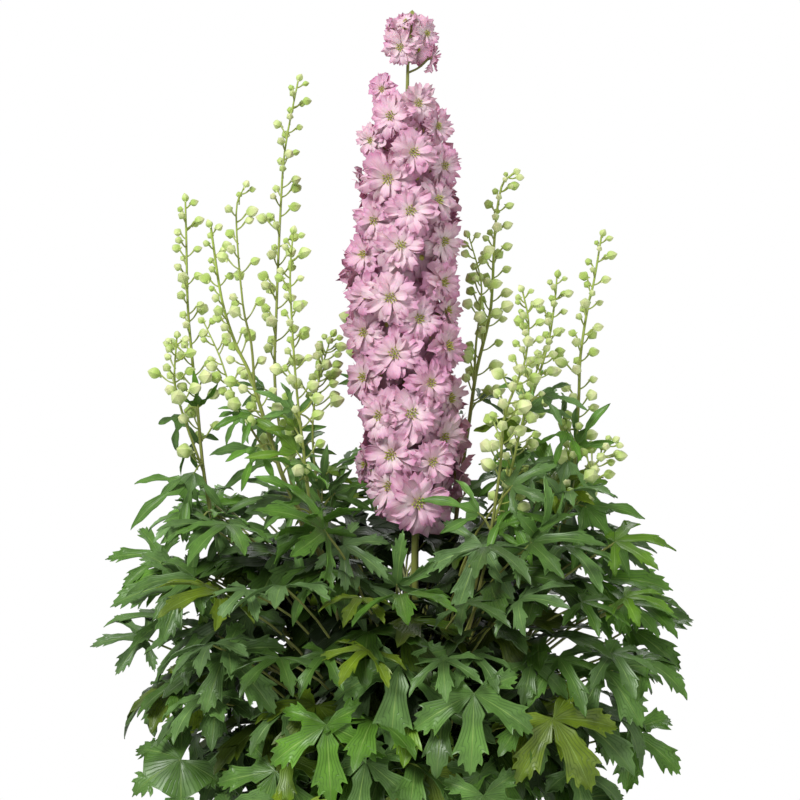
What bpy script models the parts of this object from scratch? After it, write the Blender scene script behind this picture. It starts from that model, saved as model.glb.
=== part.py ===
# A double-flowered delphinium in its nursery pot.
# Metres, +Z up, origin at the centre of the pot's underside. The plant's front looks along -Y.
import math
import random

import bmesh
import bpy
from mathutils import Matrix, Vector
from mathutils.bvhtree import BVHTree

# Driving dimensions, in metres
GAP = 0.0003            # clear space between pieces that touch
WELD = 0.000001
CLEAR = 0.0008          # least space kept when a piece is bent clear of the others
MM = 0.001

POT_HEIGHT = 0.200
POT_BASE_RADIUS = 0.078
POT_TOP_RADIUS = 0.104
POT_RIM_RADIUS = 0.112
POT_RIM_HEIGHT = 0.024
POT_WALL = 0.0022
POT_SIDES = 24
DRAIN_RADIUS = 0.006
DRAIN_RING = 0.050
DRAIN_COUNT = 4

SOIL_TOP = 0.186
HOLE_DEPTH = 0.024
HOLE_SIDES = 5
SPOT_PITCH = 0.0088     # how closely the stalks stand at the crown
SPOT_COUNT = 58

LEAF_THICKNESS = 0.0008
PETAL_THICKNESS = 0.0007
PETALS = 5
BUD_SIDES = 4
STALK_RADIUS = 0.0017
STALK_SPANS = 4
LEAF_FACING = Vector((0, -0.75, 0.66))  # a leaf in the photo turns its face forward and up
LEAF_DROOP = 0.75       # how far a blade bends down over its length, in radians
STEM_LEAF_DROOP = 0.9
BUD_TIP = (0.0036, 0.010)       # radius and length of the bud that ends a stem
BUD_RADIUS = (0.0045, 0.0027)   # the topmost bud's, and what the lowest has more
BUD_STALK = (0.011, 0.014)      # the same for their stalks
BUD_TURN = 2.4                  # from each bud to the next, round the stem
SIDE_STEP = 0.009       # how far a stem or leaf moves in each round of the search for a clear place
STEM_TRIES = 60
LEAF_TRIES = 90
STEM_CROWN = (0.22, 0.040)      # how close to the middle a stem's foot stands, against its top, and at most
LEAF_CROWN = (0.30, 0.062)
SOIL_CROWN = 0.072      # the flat middle of the soil
LIP_STEP = 0.003        # how far the pot's wall stands in below its rim
STALK_INSET = 0.010     # how far past its hub a blade sits on its stalk
CORE_RADIUS = 0.011
FLORET_REACH = 0.049    # from the spike's axis to a floret's face
SIDE_TURN = 0.72        # how far the florets at the sides turn outwards

# The flowering stem: x and z in millimetres, its radius in millimetres
FLOWER_PATH = [
    (8, 300, 4.4), (6, 420, 4.2), (5, 500, 4.0), (5, 545, 3.9), (-1, 620, 3.6), (-5, 700, 3.4), (-9, 780, 3.1),
    (-11, 840, 2.8), (-9, 910, 2.5), (-5, 965, 2.2), (-3, 1005, 1.9), (-2, 1040, 1.6), (1, 1066, 1.3),
    (2, 1083, 1.1)]
HEAD_SPAN = (0.545, 1.008)
TIP_SPAN = (1.044, 1.074)

# Florets seen from the front: x and z of the middle and the width, in millimetres
FRONT_FLORETS = [
    (8, 990, 40), (-19, 975, 46), (-28, 1005, 33), (27, 966, 38), (-40, 951, 34), (3, 937, 49), (-22, 910, 56),
    (27, 888, 46), (0, 876, 50), (-36, 866, 46), (33, 846, 47), (-10, 839, 51), (-46, 831, 46), (32, 803, 48),
    (-20, 786, 54), (8, 763, 49), (-46, 750, 48), (37, 735, 50), (-15, 727, 57), (-46, 702, 48), (20, 696, 48),
    (39, 680, 50), (2, 664, 57), (-30, 662, 50), (33, 640, 52), (-18, 622, 60), (22, 614, 48), (-46, 610, 40),
    (-20, 590, 50), (8, 573, 62), (38, 772, 48), (34, 925, 42), (-44, 788, 46), (40, 830, 40)]
BACK_FLORETS = 20
BACK_SPAN = (0.588, 0.985)

# The few florets at the tip: x, y and z of the middle, the width, the way it faces from the front, in degrees
TIP_FLORETS = [
    (-9, -17, 1050, 38, -20), (16, -12, 1064, 32, 40), (22, 2, 1040, 30, 100), (-20, -2, 1070, 24, -80),
    (-6, 14, 1072, 32, 190), (8, 15, 1050, 34, 160)]

# Bud stems: depth at the top, how many buds, the top's x and z and so on down the stem, in millimetres,
# then side branches as lists of the same points, and narrow leaves as
# (height, length, heading in the front view in degrees, lean towards the front in degrees)
BUD_STEMS = {
    "left_tall": dict(
        depth=70, buds=9, foot=2.4,
        path=[(-121, 1022), (-135, 949), (-140, 880), (-144, 778), (-145, 683), (-128, 590), (-90, 440)],
        branches=[], leaves=[(600, 90, 160, -10), (520, 80, 200, -30)]),
    "left_outer": dict(
        depth=-25, buds=8, foot=2.6,
        path=[(-236, 887), (-235, 843), (-234, 784), (-231, 740), (-224, 670), (-216, 590), (-196, 497),
              (-150, 380)],
        branches=[[(-243, 744), (-246, 697), (-236, 656), (-222, 600)]],
        leaves=[(585, 85, 205, 25), (560, 70, 255, 30), (555, 70, 300, 20)]),
    "left_inner": dict(
        depth=-75, buds=7, foot=3.2,
        path=[(-206, 858), (-195, 784), (-181, 738), (-168, 711), (-157, 677), (-143, 632), (-130, 593),
              (-100, 530), (-66, 440)],
        branches=[[(-169, 898), (-178, 870), (-172, 779), (-164, 738), (-160, 690)],
                  [(-216, 760), (-199, 724), (-184, 683), (-160, 640), (-142, 610)]],
        leaves=[(540, 70, 230, 20), (480, 80, 350, 25)]),
    "left_near": dict(
        depth=-105, buds=8, foot=2.2,
        path=[(-120, 850), (-123, 805), (-120, 737), (-116, 683), (-110, 629), (-104, 576), (-80, 470),
              (-45, 350)],
        branches=[], leaves=[(560, 60, 140, 20), (500, 60, 240, 30)]),
    "left_low": dict(
        depth=25, buds=6, foot=2.0,
        path=[(-84, 746), (-97, 700), (-104, 650), (-98, 580), (-70, 450)],
        branches=[], leaves=[(560, 60, 30, 0)]),
    "right_tall": dict(
        depth=62, buds=9, foot=2.8,
        path=[(112, 922), (99, 907), (92, 860), (89, 796), (85, 762), (72, 709), (64, 655), (56, 600), (40, 470)],
        branches=[[(63, 852), (76, 805), (75, 772), (71, 735), (70, 690)]],
        leaves=[(560, 70, 40, -30)]),
    "right_outer": dict(
        depth=-10, buds=9, foot=2.7,
        path=[(202, 851), (194, 803), (188, 778), (180, 725), (178, 675), (173, 600), (162, 545), (140, 470),
              (95, 350)],
        branches=[[(212, 636), (191, 606), (178, 580), (168, 550)]],
        leaves=[(565, 95, 315, 20), (548, 60, 80, 10), (480, 75, 20, -20)]),
    "right_mid": dict(
        depth=45, buds=8, foot=2.4,
        path=[(158, 809), (156, 785), (149, 740), (134, 689), (120, 648), (106, 595), (85, 500), (55, 370)],
        branches=[], leaves=[(560, 70, 60, -20)]),
    "right_near": dict(
        depth=-80, buds=8, foot=2.2,
        path=[(116, 791), (122, 760), (119, 723), (110, 697), (97, 660), (92, 600), (76, 500), (45, 370)],
        branches=[], leaves=[(545, 65, 150, 15)]),
    "right_low": dict(
        depth=-45, buds=6, foot=2.3,
        path=[(140, 730), (129, 700), (117, 655), (104, 600), (84, 540), (68, 480), (45, 350)],
        branches=[], leaves=[(552, 75, 325, 20)]),
    "back_left": dict(
        depth=150, buds=7, foot=2.4,
        path=[(-52, 842), (-48, 780), (-50, 700), (-44, 610), (-28, 480)],
        branches=[], leaves=[(600, 75, 150, -60), (530, 75, 30, -60)]),
}

# Basal leaves: x, y and z of the hub, the heading of the middle lobe in the front view in degrees,
# its lean towards the front in degrees, the length of the middle lobe, in millimetres, and the kind
FRONT_LEAVES = [
    (64, -150, 385, 268, 25, 86, "broad"), (-11, -125, 412, 262, 30, 92, "broad"),
    (-45, -140, 315, 258, 20, 76, "broad"), (18, -120, 300, 285, 15, 70, "broad"),
    (74, -75, 530, 245, 25, 82, "fine"), (-69, -85, 512, 335, 25, 66, "fine"),
    (-14, -60, 486, 86, 30, 60, "fine"), (200, -70, 402, 312, 25, 76, "broad"),
    (145, -115, 356, 305, 25, 92, "broad"), (202, 0, 486, 4, 10, 92, "broad"),
    (-190, -105, 420, 322, 25, 82, "broad"), (-238, -25, 486, 184, 15, 84, "broad"),
    (-238, -70, 306, 205, 20, 66, "round"), (-222, 10, 372, 192, 10, 66, "broad"),
    (-268, 45, 508, 168, 0, 66, "fine"), (-284, 20, 424, 178, 10, 62, "fine"),
    (236, 25, 322, 330, 10, 76, "broad"), (-138, -110, 300, 246, 20, 80, "broad"),
    (-85, -150, 362, 275, 25, 84, "broad"), (74, -150, 280, 278, 15, 76, "broad"),
    (166, -70, 262, 322, 20, 80, "broad"), (238, 60, 430, 20, -10, 84, "broad")]
FILL_LEAVES = 14
FILL_START = 20
FILL_RADIUS = (0.085, 0.215)
FILL_HEIGHT = (0.265, 0.50)

# Lobes of each kind of leaf: their angles in degrees from the middle one, their lengths against it,
# how deep the cuts between them go, and the half width of a lobe's teeth in degrees
LEAF_KINDS = {
    "broad": dict(angles=(-118, -62, 0, 62, 118), lengths=(0.62, 0.88, 1.0, 0.88, 0.62), cut=0.30, tooth=19),
    "fine": dict(angles=(-105, -52, 0, 52, 105), lengths=(0.66, 0.86, 1.0, 0.86, 0.66), cut=0.22, tooth=11),
    "round": dict(angles=(-120, -60, 0, 60, 120), lengths=(0.85, 0.95, 1.0, 0.95, 0.85), cut=0.62, tooth=20),
    "narrow": dict(angles=(-50, 0, 50), lengths=(0.80, 1.0, 0.80), cut=0.26, tooth=11)}

COLOURS = dict(pot=(0.035, 0.036, 0.038), soil=(0.05, 0.032, 0.02), petal=(0.62, 0.32, 0.52),
               leaf=(0.075, 0.19, 0.035), stem=(0.16, 0.24, 0.06))


def mm(x, y, z):
    return Vector((x, y, z)) * MM


def smooth(t):
    return t * t * (3 - 2 * t)


def frame_for(direction, hint):
    # Two unit vectors square to the direction, the first as close to the hint as can be
    direction = direction.normalized()
    first = hint - direction * hint.dot(direction)
    if first.length < 0.01:
        first = Vector((1, 0, 0)) - direction * direction.x
    first.normalize()
    return first, direction.cross(first)


# Closed shells that the pieces are joined from

def mesh_of(thing):
    depsgraph = bpy.context.evaluated_depsgraph_get()
    return bpy.data.meshes.new_from_object(thing.evaluated_get(depsgraph))


def tube(points, radii, detail=0, grow=0.0):
    data = bpy.data.curves.new("tube", "CURVE")
    data.dimensions = "3D"
    data.fill_mode = "FULL"
    data.bevel_depth = 1.0
    data.bevel_resolution = detail
    data.use_fill_caps = True
    spline = data.splines.new("POLY")
    spline.points.add(len(points) - 1)
    for knot, place, radius in zip(spline.points, points, radii):
        knot.co = (*place, 1.0)
        knot.radius = radius + grow
    line = bpy.data.objects.new("tube", data)
    bpy.context.scene.collection.objects.link(line)
    mesh = mesh_of(line)
    shell = bmesh.new()
    shell.from_mesh(mesh)
    bmesh.ops.remove_doubles(shell, verts=shell.verts, dist=WELD)
    bpy.data.objects.remove(line)
    bpy.data.meshes.remove(mesh)
    return shell


def cone(start, end, start_radius, end_radius, sides, grow=0.0):
    shell = bmesh.new()
    along = end - start
    turn = along.to_track_quat("Z", "Y").to_matrix().to_4x4()
    bmesh.ops.create_cone(
        shell, cap_ends=True, cap_tris=False, segments=sides, radius1=start_radius + grow,
        radius2=end_radius + grow, depth=along.length,
        matrix=Matrix.Translation((start + end) / 2) @ turn)
    return shell


def bridge(low, high):
    # Triangles between two rings of (angle, corner) that start at the same angle
    triangles = []
    low, high = low + [(low[0][0] + math.tau, low[0][1])], high + [(high[0][0] + math.tau, high[0][1])]
    i = j = 0
    while i < len(low) - 1 or j < len(high) - 1:
        if j == len(high) - 1 or (i < len(low) - 1 and low[i + 1][0] < high[j + 1][0] + 0.001):
            triangles.append((low[i][1], high[j][1], low[i + 1][1]))
            i += 1
        else:
            triangles.append((low[i][1], high[j][1], high[j + 1][1]))
            j += 1
    return triangles


def loft(rings, tip):
    # A closed shell through rings of (angle, point), flat at its root and pointed at its tip
    shell = bmesh.new()
    loops = [[(angle, shell.verts.new(point)) for angle, point in ring] for ring in rings]
    apex = shell.verts.new(tip)
    shell.faces.new([corner for angle, corner in loops[0]])
    for low, high in zip(loops, loops[1:]):
        for triangle in bridge(low, high):
            shell.faces.new(triangle)
    last = [corner for angle, corner in loops[-1]]
    for a, b in zip(last, last[1:] + last[:1]):
        shell.faces.new((a, b, apex))
    bmesh.ops.recalc_face_normals(shell, faces=shell.faces)
    return shell


def ring(centre, up, side, marks):
    return [(angle, centre + (up * math.cos(angle) + side * math.sin(angle)) * reach) for angle, reach in marks]


def bud(start, end, radius, length, grow=0.0):
    # A thin stalk that swells into a pointed bud
    along = (end - start).normalized()
    up, side = frame_for(along, Vector((0, 0, 1)))
    marks = [math.tau * index / BUD_SIDES for index in range(BUD_SIDES)]

    def turn(place, reach):
        return ring(place, up, side, [(angle, reach + grow) for angle in marks])

    return loft([turn(start, 0.0010), turn(end, 0.0009), turn(end + along * length * 0.42, radius)],
                end + along * (length + grow))


def sheet(points, triangles, thickness, grow=0.0):
    # A thin plate, split into the same triangles on both faces
    shell = bmesh.new()
    corners = [shell.verts.new(point) for point in points]
    for triangle in triangles:
        shell.faces.new([corners[index] for index in triangle])
    shell.normal_update()
    depth = thickness + 2 * grow
    for corner in corners:
        corner.co += corner.normal * depth / 2
    bmesh.ops.solidify(shell, geom=shell.faces[:], thickness=depth)
    bmesh.ops.recalc_face_normals(shell, faces=shell.faces)
    return shell


def leaf_blade(hub, along, face, length, kind, droop, phase, grow=0.0):
    # Toothed lobes round the hub, the whole bent down along an arc
    shape = LEAF_KINDS[kind]
    across = face.cross(along)

    def point(angle, reach):
        bend = droop * reach
        out = math.sin(bend) / bend if bend > 0.001 else 1.0
        down = (1 - math.cos(bend)) / bend if bend > 0.001 else 0.0
        wave = 0.05 * math.sin(3 * angle + phase) * reach
        flat = along * math.cos(angle) + across * math.sin(angle)
        return hub + (flat * out * reach - face * (down * reach - wave)) * length

    angles = [math.radians(angle) for angle in shape["angles"]]
    lengths = shape["lengths"]
    tooth = math.radians(shape["tooth"])
    half = (angles[1] - angles[0]) / 2
    points = [point(0, 0), point(angles[0] - half * 0.8, shape["cut"] * 0.7)]
    triangles = []
    for index, (angle, reach) in enumerate(zip(angles, lengths)):
        last = index == len(angles) - 1
        before = len(points) - 1
        points += [point(angle - tooth, reach * 0.74), point(angle, reach), point(angle + tooth, reach * 0.70),
                   point(angle + half * (0.8 if last else 1.0), shape["cut"] * (0.7 if last else 1.0))]
        right, tip, left, after = range(before + 1, before + 5)
        triangles += [(0, before, right), (0, right, left), (right, tip, left), (0, left, after)]
    return sheet(points, triangles, LEAF_THICKNESS, grow)


def floret(centre, facing, width, root, draw, teeth=True, grow=0.0):
    # A stalk, five broad outer petals toothed at their tips, and five narrow inner ones in front
    up, side = frame_for(facing, Vector((0, 0, 1)))
    roll = draw.uniform(0, math.tau)
    size = width / 2
    step = math.tau / PETALS
    corners = [roll + step * index for index in range(PETALS)]
    outer, inner = [], []
    for angle in corners:
        reach = size * draw.uniform(0.93, 1.05)
        wave = draw.uniform(-0.05, 0.05)
        outer.append((angle, size * 0.70, 0.10))
        if teeth:
            outer += [(angle + step / 2 - 0.26, reach, 0.24 + wave), (angle + step / 2 + 0.24, reach * 0.95, 0.10)]
        else:
            outer.append((angle + step / 2, reach, 0.16 + wave))
        inner += [(angle, size * 0.60, 0.32 + wave), (angle + step / 2, size * 0.36, 0.17)]

    def layer(marks, drop):
        return [(angle, centre + (up * math.cos(angle) + side * math.sin(angle)) * reach
                 + facing * (rise * size - drop)) for angle, reach, rise in marks]

    back = PETAL_THICKNESS + 2 * grow
    throat = [(angle, 0.0022 + grow) for angle in corners]
    root_up, root_side = frame_for(centre - root, up)
    return loft([
        ring(root, root_up, root_side, [(angle, 0.0014 + grow) for angle in corners]),
        ring(centre - facing * back, up, side, throat), layer(outer, back), layer(outer, 0),
        ring(centre, up, side, throat), layer(inner, 0)], centre + facing * 0.0035)


# Joining and placing

def collect(shells):
    whole = bmesh.new()
    for shell in shells:
        mesh = bpy.data.meshes.new("shell")
        shell.to_mesh(mesh)
        whole.from_mesh(mesh)
        bpy.data.meshes.remove(mesh)
    return whole


def link(name, shell, collection):
    mesh = bpy.data.meshes.new(name)
    shell.to_mesh(mesh)
    thing = bpy.data.objects.new(name, mesh)
    collection.objects.link(thing)
    return thing


def fuse(name, shells, operation="UNION", solver="EXACT"):
    # The first shell is joined with, or cut by, all the others in one step
    thing = link(name, shells[0], parts)
    if len(shells) > 1:
        others = bpy.data.collections.new(name + "_others")
        bpy.context.scene.collection.children.link(others)
        for shell in shells[1:]:
            link("other", shell, others)
        join = thing.modifiers.new("join", "BOOLEAN")
        join.operation = operation
        join.operand_type = "COLLECTION"
        join.collection = others
        join.solver = solver
        mesh = mesh_of(thing)
        thing.modifiers.remove(join)
        old = thing.data
        thing.data = mesh
        bpy.data.meshes.remove(old)
        for other in list(others.objects):
            bpy.data.objects.remove(other)
        bpy.data.collections.remove(others)
    keep_largest_body(thing)
    return thing


def keep_largest_body(thing):
    # Drops the loose scraps that a union can leave
    shell = bmesh.new()
    shell.from_mesh(thing.data)
    bmesh.ops.remove_doubles(shell, verts=shell.verts, dist=WELD)
    shell.verts.ensure_lookup_table()
    seen = set()
    groups = []
    for vert in shell.verts:
        if vert.index in seen:
            continue
        group, queue = [], [vert]
        seen.add(vert.index)
        while queue:
            here = queue.pop()
            group.append(here)
            for edge in here.link_edges:
                other = edge.other_vert(here)
                if other.index not in seen:
                    seen.add(other.index)
                    queue.append(other)
        groups.append(group)
    groups.sort(key=len, reverse=True)
    for group in groups[1:]:
        bmesh.ops.delete(shell, geom=group, context="VERTS")
    shell.to_mesh(thing.data)


class Layout:
    # Where the stalks stand at the crown, and what has been placed so far

    def __init__(self):
        golden = math.pi * (3 - math.sqrt(5))
        self.spots = []
        for index in range(SPOT_COUNT):
            reach = SPOT_PITCH * math.sqrt(index + 0.3)
            self.spots.append(Vector((math.cos(index * golden) * reach, math.sin(index * golden) * reach, 0)))
        self.holes = []
        self.trees = []

    def spots_near(self, target, spread, limit):
        flat = Vector((target.x, target.y, 0)) * spread
        if flat.length > limit:
            flat *= limit / flat.length
        return sorted(self.spots, key=lambda spot: (spot - flat).length)

    def is_clear(self, shells):
        tree = BVHTree.FromBMesh(collect(shells))
        return not any(tree.overlap(other) for other in self.trees)

    def take(self, spot, radius, shells):
        if spot is not None:
            self.spots.remove(spot)
            self.holes.append((spot, radius))
        self.trees.append(BVHTree.FromBMesh(collect(shells)))


def foot_points(spot):
    # A stalk stands straight in its hole and for a little above it
    return [spot + Vector((0, 0, SOIL_TOP - HOLE_DEPTH + GAP)), spot + Vector((0, 0, SOIL_TOP + 0.012))]


# The pot and the soil

def build_pot():
    top_outer = POT_TOP_RADIUS
    below_rim = POT_HEIGHT - POT_RIM_HEIGHT
    profile = [
        (POT_RIM_RADIUS - POT_WALL * 1.4, POT_HEIGHT), (POT_RIM_RADIUS, POT_HEIGHT - 0.001),
        (POT_RIM_RADIUS, below_rim), (top_outer - LIP_STEP, below_rim - 0.002), (POT_BASE_RADIUS + 0.002, 0.004),
        (POT_BASE_RADIUS, 0.0), (0.0, 0.0), (0.0, POT_WALL),
        (POT_BASE_RADIUS - POT_WALL, POT_WALL), (top_outer - POT_WALL - LIP_STEP, below_rim),
        (POT_RIM_RADIUS - POT_WALL * 1.4, below_rim + POT_WALL)]
    return turned("pot", profile)


def turned(name, profile):
    # The profile goes round the upright axis once
    shell = bmesh.new()
    corners = [shell.verts.new((radius, 0, height)) for radius, height in profile]
    edges = [shell.edges.new(pair) for pair in zip(corners, corners[1:] + corners[:1])]
    bmesh.ops.spin(shell, geom=corners + edges, cent=(0, 0, 0), axis=(0, 0, 1), angle=math.tau,
                   steps=POT_SIDES, use_duplicate=False)
    bmesh.ops.remove_doubles(shell, verts=shell.verts, dist=WELD)
    bmesh.ops.dissolve_degenerate(shell, edges=shell.edges, dist=WELD)
    bmesh.ops.recalc_face_normals(shell, faces=shell.faces)
    return shell


def finish_pot(shell):
    cutters = [shell]
    for index in range(DRAIN_COUNT):
        angle = math.tau * index / DRAIN_COUNT
        place = Vector((math.cos(angle), math.sin(angle), 0)) * DRAIN_RING
        cutters.append(cone(place - Vector((0, 0, 0.01)), place + Vector((0, 0, 0.01)), DRAIN_RADIUS,
                            DRAIN_RADIUS, 8))
    return fuse("pot", cutters, "DIFFERENCE")


def build_soil(layout):
    # The soil fills the pot and heaps a little towards the crown
    floor = POT_WALL + GAP
    base = POT_BASE_RADIUS - POT_WALL - GAP
    lip_height = POT_HEIGHT - POT_RIM_HEIGHT
    lip = POT_TOP_RADIUS - POT_WALL - LIP_STEP - GAP * 1.3
    profile = [(0.0, SOIL_TOP), (SOIL_CROWN, SOIL_TOP), (lip, lip_height - 0.002), (base, floor), (0.0, floor)]
    cutters = [turned("soil", profile)]
    for spot, radius in layout.holes:
        bottom = spot + Vector((0, 0, SOIL_TOP - HOLE_DEPTH))
        top = spot + Vector((0, 0, SOIL_TOP + 0.01))
        width = (radius + GAP) / math.cos(math.pi / HOLE_SIDES)
        cutters.append(cone(bottom, top, width, width, HOLE_SIDES))
    return fuse("soil", cutters, "DIFFERENCE")


# The flowering stem and its florets

def flower_line(layout):
    spot = layout.spots_near(Vector((0, 0, 0)), 1, 1)[0]
    points = foot_points(spot) + [mm(x, 0, z) for x, z, radius in FLOWER_PATH]
    radii = [4.6 * MM] * 2 + [radius * MM for x, z, radius in FLOWER_PATH]
    return spot, points, radii


def axis_at(height):
    for (x0, z0, r0), (x1, z1, r1) in zip(FLOWER_PATH, FLOWER_PATH[1:]):
        if z0 * MM <= height <= z1 * MM:
            share = (height - z0 * MM) / ((z1 - z0) * MM)
            return Vector((x0 + (x1 - x0) * share, 0, 0)) * MM + Vector((0, 0, height))
    return mm(FLOWER_PATH[-1][0], 0, 0) + Vector((0, 0, height))


def core_tube(span, radius, ends):
    # Follows the stem's own corners, so that the space round the stem stays even
    heights = [span[0]] + [z * MM for x, z, r in FLOWER_PATH if span[0] + 0.006 < z * MM < span[1] - 0.006]
    heights += [span[1]]
    radii = [ends] + [radius] * (len(heights) - 2) + [ends]
    return tube([axis_at(height) for height in heights], radii, 1)


def head_florets():
    draw = random.Random(7)
    shells = []
    for index, (x, z, width) in enumerate(FRONT_FLORETS):
        middle = axis_at(z * MM)
        reach = FLORET_REACH * min(1.0, 0.60 + (HEAD_SPAN[1] - z * MM) * 5) + (index % 3 - 1) * 0.004
        sideways = max(-0.99, min(0.99, (x * MM - middle.x) / reach))
        angle = math.asin(sideways)
        shells.append(facing_floret(middle, angle, angle * SIDE_TURN, reach, width * MM, draw, True))
    low, high = BACK_SPAN
    for index in range(BACK_FLORETS):
        height = low + (high - low) * (index + 0.5) / BACK_FLORETS
        middle = axis_at(height)
        reach = FLORET_REACH * min(1.0, 0.62 + (HEAD_SPAN[1] - height) * 5)
        angle = math.pi + (index * 1.35 % 2.5 - 1.25)
        width = (54 - 14 * max(0, (height - 0.85) / 0.15)) * MM
        shells.append(facing_floret(middle, angle, angle, reach, width, draw, False))
    return shells


def facing_floret(middle, angle, look, reach, width, draw, teeth):
    # A floret whose stalk rises from the core; the look is the way it faces, round from the front
    out = Vector((math.sin(angle), -math.cos(angle), 0))
    ahead = Vector((math.sin(look), -math.cos(look), 0))
    tilt = draw.uniform(-0.18, 0.16)
    turn = draw.uniform(-0.15, 0.15)
    facing = (ahead + Vector((-ahead.y, ahead.x, 0)) * turn + Vector((0, 0, tilt))).normalized()
    root = middle + out * CORE_RADIUS * 0.62 - Vector((0, 0, 0.010))
    root.z = max(root.z, HEAD_SPAN[0] + 0.012)
    return floret(middle + out * reach, facing, width, root, draw, teeth)


def build_flowers(layout):
    spot, points, radii = flower_line(layout)
    top_bud = bud(points[-1] - Vector((0, 0, 0.006)), points[-1] - Vector((0, 0, 0.002)), 0.0050, 0.014)
    stem_shells = [tube(points, radii, 1), top_bud]
    stem = fuse("flower_stem", stem_shells)
    layout.take(spot, 4.6 * MM, stem_shells)

    hollow = tube(points, radii, 1, grow=GAP)
    head_shells = [core_tube(HEAD_SPAN, CORE_RADIUS, CORE_RADIUS * 0.7)] + head_florets()
    head = bored("flower_head", head_shells, hollow)
    layout.take(None, None, head_shells)

    draw = random.Random(3)
    tip_shells = [core_tube(TIP_SPAN, 0.0045, 0.0035)]
    for x, y, z, width, turn in TIP_FLORETS:
        angle = math.radians(turn)
        facing = Vector((math.sin(angle), -math.cos(angle), draw.uniform(-0.3, 0.1))).normalized()
        root_height = min(max(z - 8, TIP_SPAN[0] / MM + 6), TIP_SPAN[1] / MM - 6) * MM
        root = axis_at(root_height) + Vector((math.sin(angle), -math.cos(angle), 0)) * 0.0026
        tip_shells.append(floret(mm(x, y, z), facing, width * MM, root, draw))
    hollow = tube(points, radii, 1, grow=GAP)
    tip = bored("flower_tip", tip_shells, hollow)
    layout.take(None, None, tip_shells)
    return stem, head, tip


def bored(name, shells, hollow):
    # Joined first, then bored for the stem that runs through it
    whole = fuse(name, shells)
    shell = bmesh.new()
    shell.from_mesh(whole.data)
    bpy.data.objects.remove(whole)
    return fuse(name, [shell, hollow], "DIFFERENCE")


# The bud stems

def bud_stem_shells(name, spot, push, grow=0.0):
    plan = BUD_STEMS[name]
    draw = random.Random(sum(map(ord, name)))
    top = plan["path"][0][1] * MM
    depth = plan["depth"] * MM + push

    def set_back(x, z):
        share = (z * MM - SOIL_TOP) / (top - SOIL_TOP)
        return Vector((x * MM, spot.y + (depth - spot.y) * smooth(share) ** 0.8, z * MM))

    line = foot_points(spot) + [set_back(x, z) for x, z in reversed(plan["path"])]
    radii = [plan["foot"] * MM * (1 - 0.62 * index / (len(line) - 1)) for index in range(len(line))]
    shells = [tube(line, radii, 0, grow)]
    runs = [(line[4:], plan["buds"])]
    for number, branch in enumerate(plan["branches"]):
        points = [set_back(x, z) for x, z in reversed(branch)]
        points[0] = nearest_on(line, points[0])
        lean = Vector((0, 0.010 if number % 2 else -0.010, 0))
        points[1:] = [point + lean * (index + 1) for index, point in enumerate(points[1:])]
        shells.append(tube(points, [1.5 * MM - 0.2 * MM * index for index in range(len(points))], 0, grow))
        runs.append((points[1:], max(3, plan["buds"] // 3)))
    for points, count in runs:
        shells += buds_along(points, count, draw, grow)
    for height, length, heading, lean in plan["leaves"]:
        shells += stem_leaf(line, height * MM, length * MM, heading, lean, draw, grow)
    return shells


def nearest_on(line, place):
    best = min((place_on(line, index, place) for index in range(len(line) - 1)),
               key=lambda point: (point - place).length)
    return best


def place_on(line, index, place):
    run = line[index + 1] - line[index]
    share = max(0.0, min(1.0, (place - line[index]).dot(run) / run.length_squared))
    return line[index] + run * share


def along_line(line, distance):
    # The point and the direction at a distance back from the top
    for a, b in zip(reversed(line[1:]), reversed(line[:-1])):
        run = (b - a).length
        if distance <= run:
            return a.lerp(b, distance / run), (a - b).normalized()
        distance -= run
    return line[0], (line[1] - line[0]).normalized()


def buds_along(points, count, draw, grow):
    # Small close buds at the top, larger ones on longer stalks lower down
    shells = []
    tip, direction = along_line(points, 0.0)
    shells.append(bud(tip - direction * 0.004, tip, *BUD_TIP, grow))
    total = sum((b - a).length for a, b in zip(points, points[1:]))
    for index in range(count):
        share = (index + 0.7) / count
        place, direction = along_line(points, min(total * 0.94, 0.012 + (total - 0.02) * share ** 1.15))
        angle = index * BUD_TURN + draw.uniform(-0.4, 0.4)
        first, second = frame_for(direction, Vector((1, 0, 0)))
        out = first * math.cos(angle) + second * math.sin(angle)
        reach = BUD_STALK[0] + BUD_STALK[1] * share
        end = place + (out * 0.85 + direction * 0.7).normalized() * reach
        size = (BUD_RADIUS[0] + BUD_RADIUS[1] * share) * draw.uniform(0.88, 1.12)
        shells.append(bud(place, end, size, size * 2.5, grow))
    return shells


def stem_leaf(line, height, length, heading, lean, draw, grow):
    # A short stalk and a narrow cut leaf, held out from the stem
    place = line[-1]
    for a, b in zip(line, line[1:]):
        if a.z <= height <= b.z:
            place = a.lerp(b, (height - a.z) / (b.z - a.z))
    along, face = leaf_frame(heading, lean)
    rise = (along * 0.8 + Vector((0, 0, 0.6))).normalized()
    hub = place + rise * 0.020
    turn = draw.uniform(0, 6)
    return [cone(place, hub + along * STALK_INSET + face * 0.001, 0.0013, 0.0009, 3, grow),
            leaf_blade(hub, along, face, length, "narrow", STEM_LEAF_DROOP, turn, grow)]


def leaf_frame(heading, lean):
    # Heading in the front view, lean towards the front; the face looks forward and up
    turn, tip = math.radians(heading), math.radians(lean)
    along = Vector((math.cos(turn) * math.cos(tip), -math.sin(tip), math.sin(turn) * math.cos(tip)))
    return along, frame_for(along, LEAF_FACING)[0]


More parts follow.
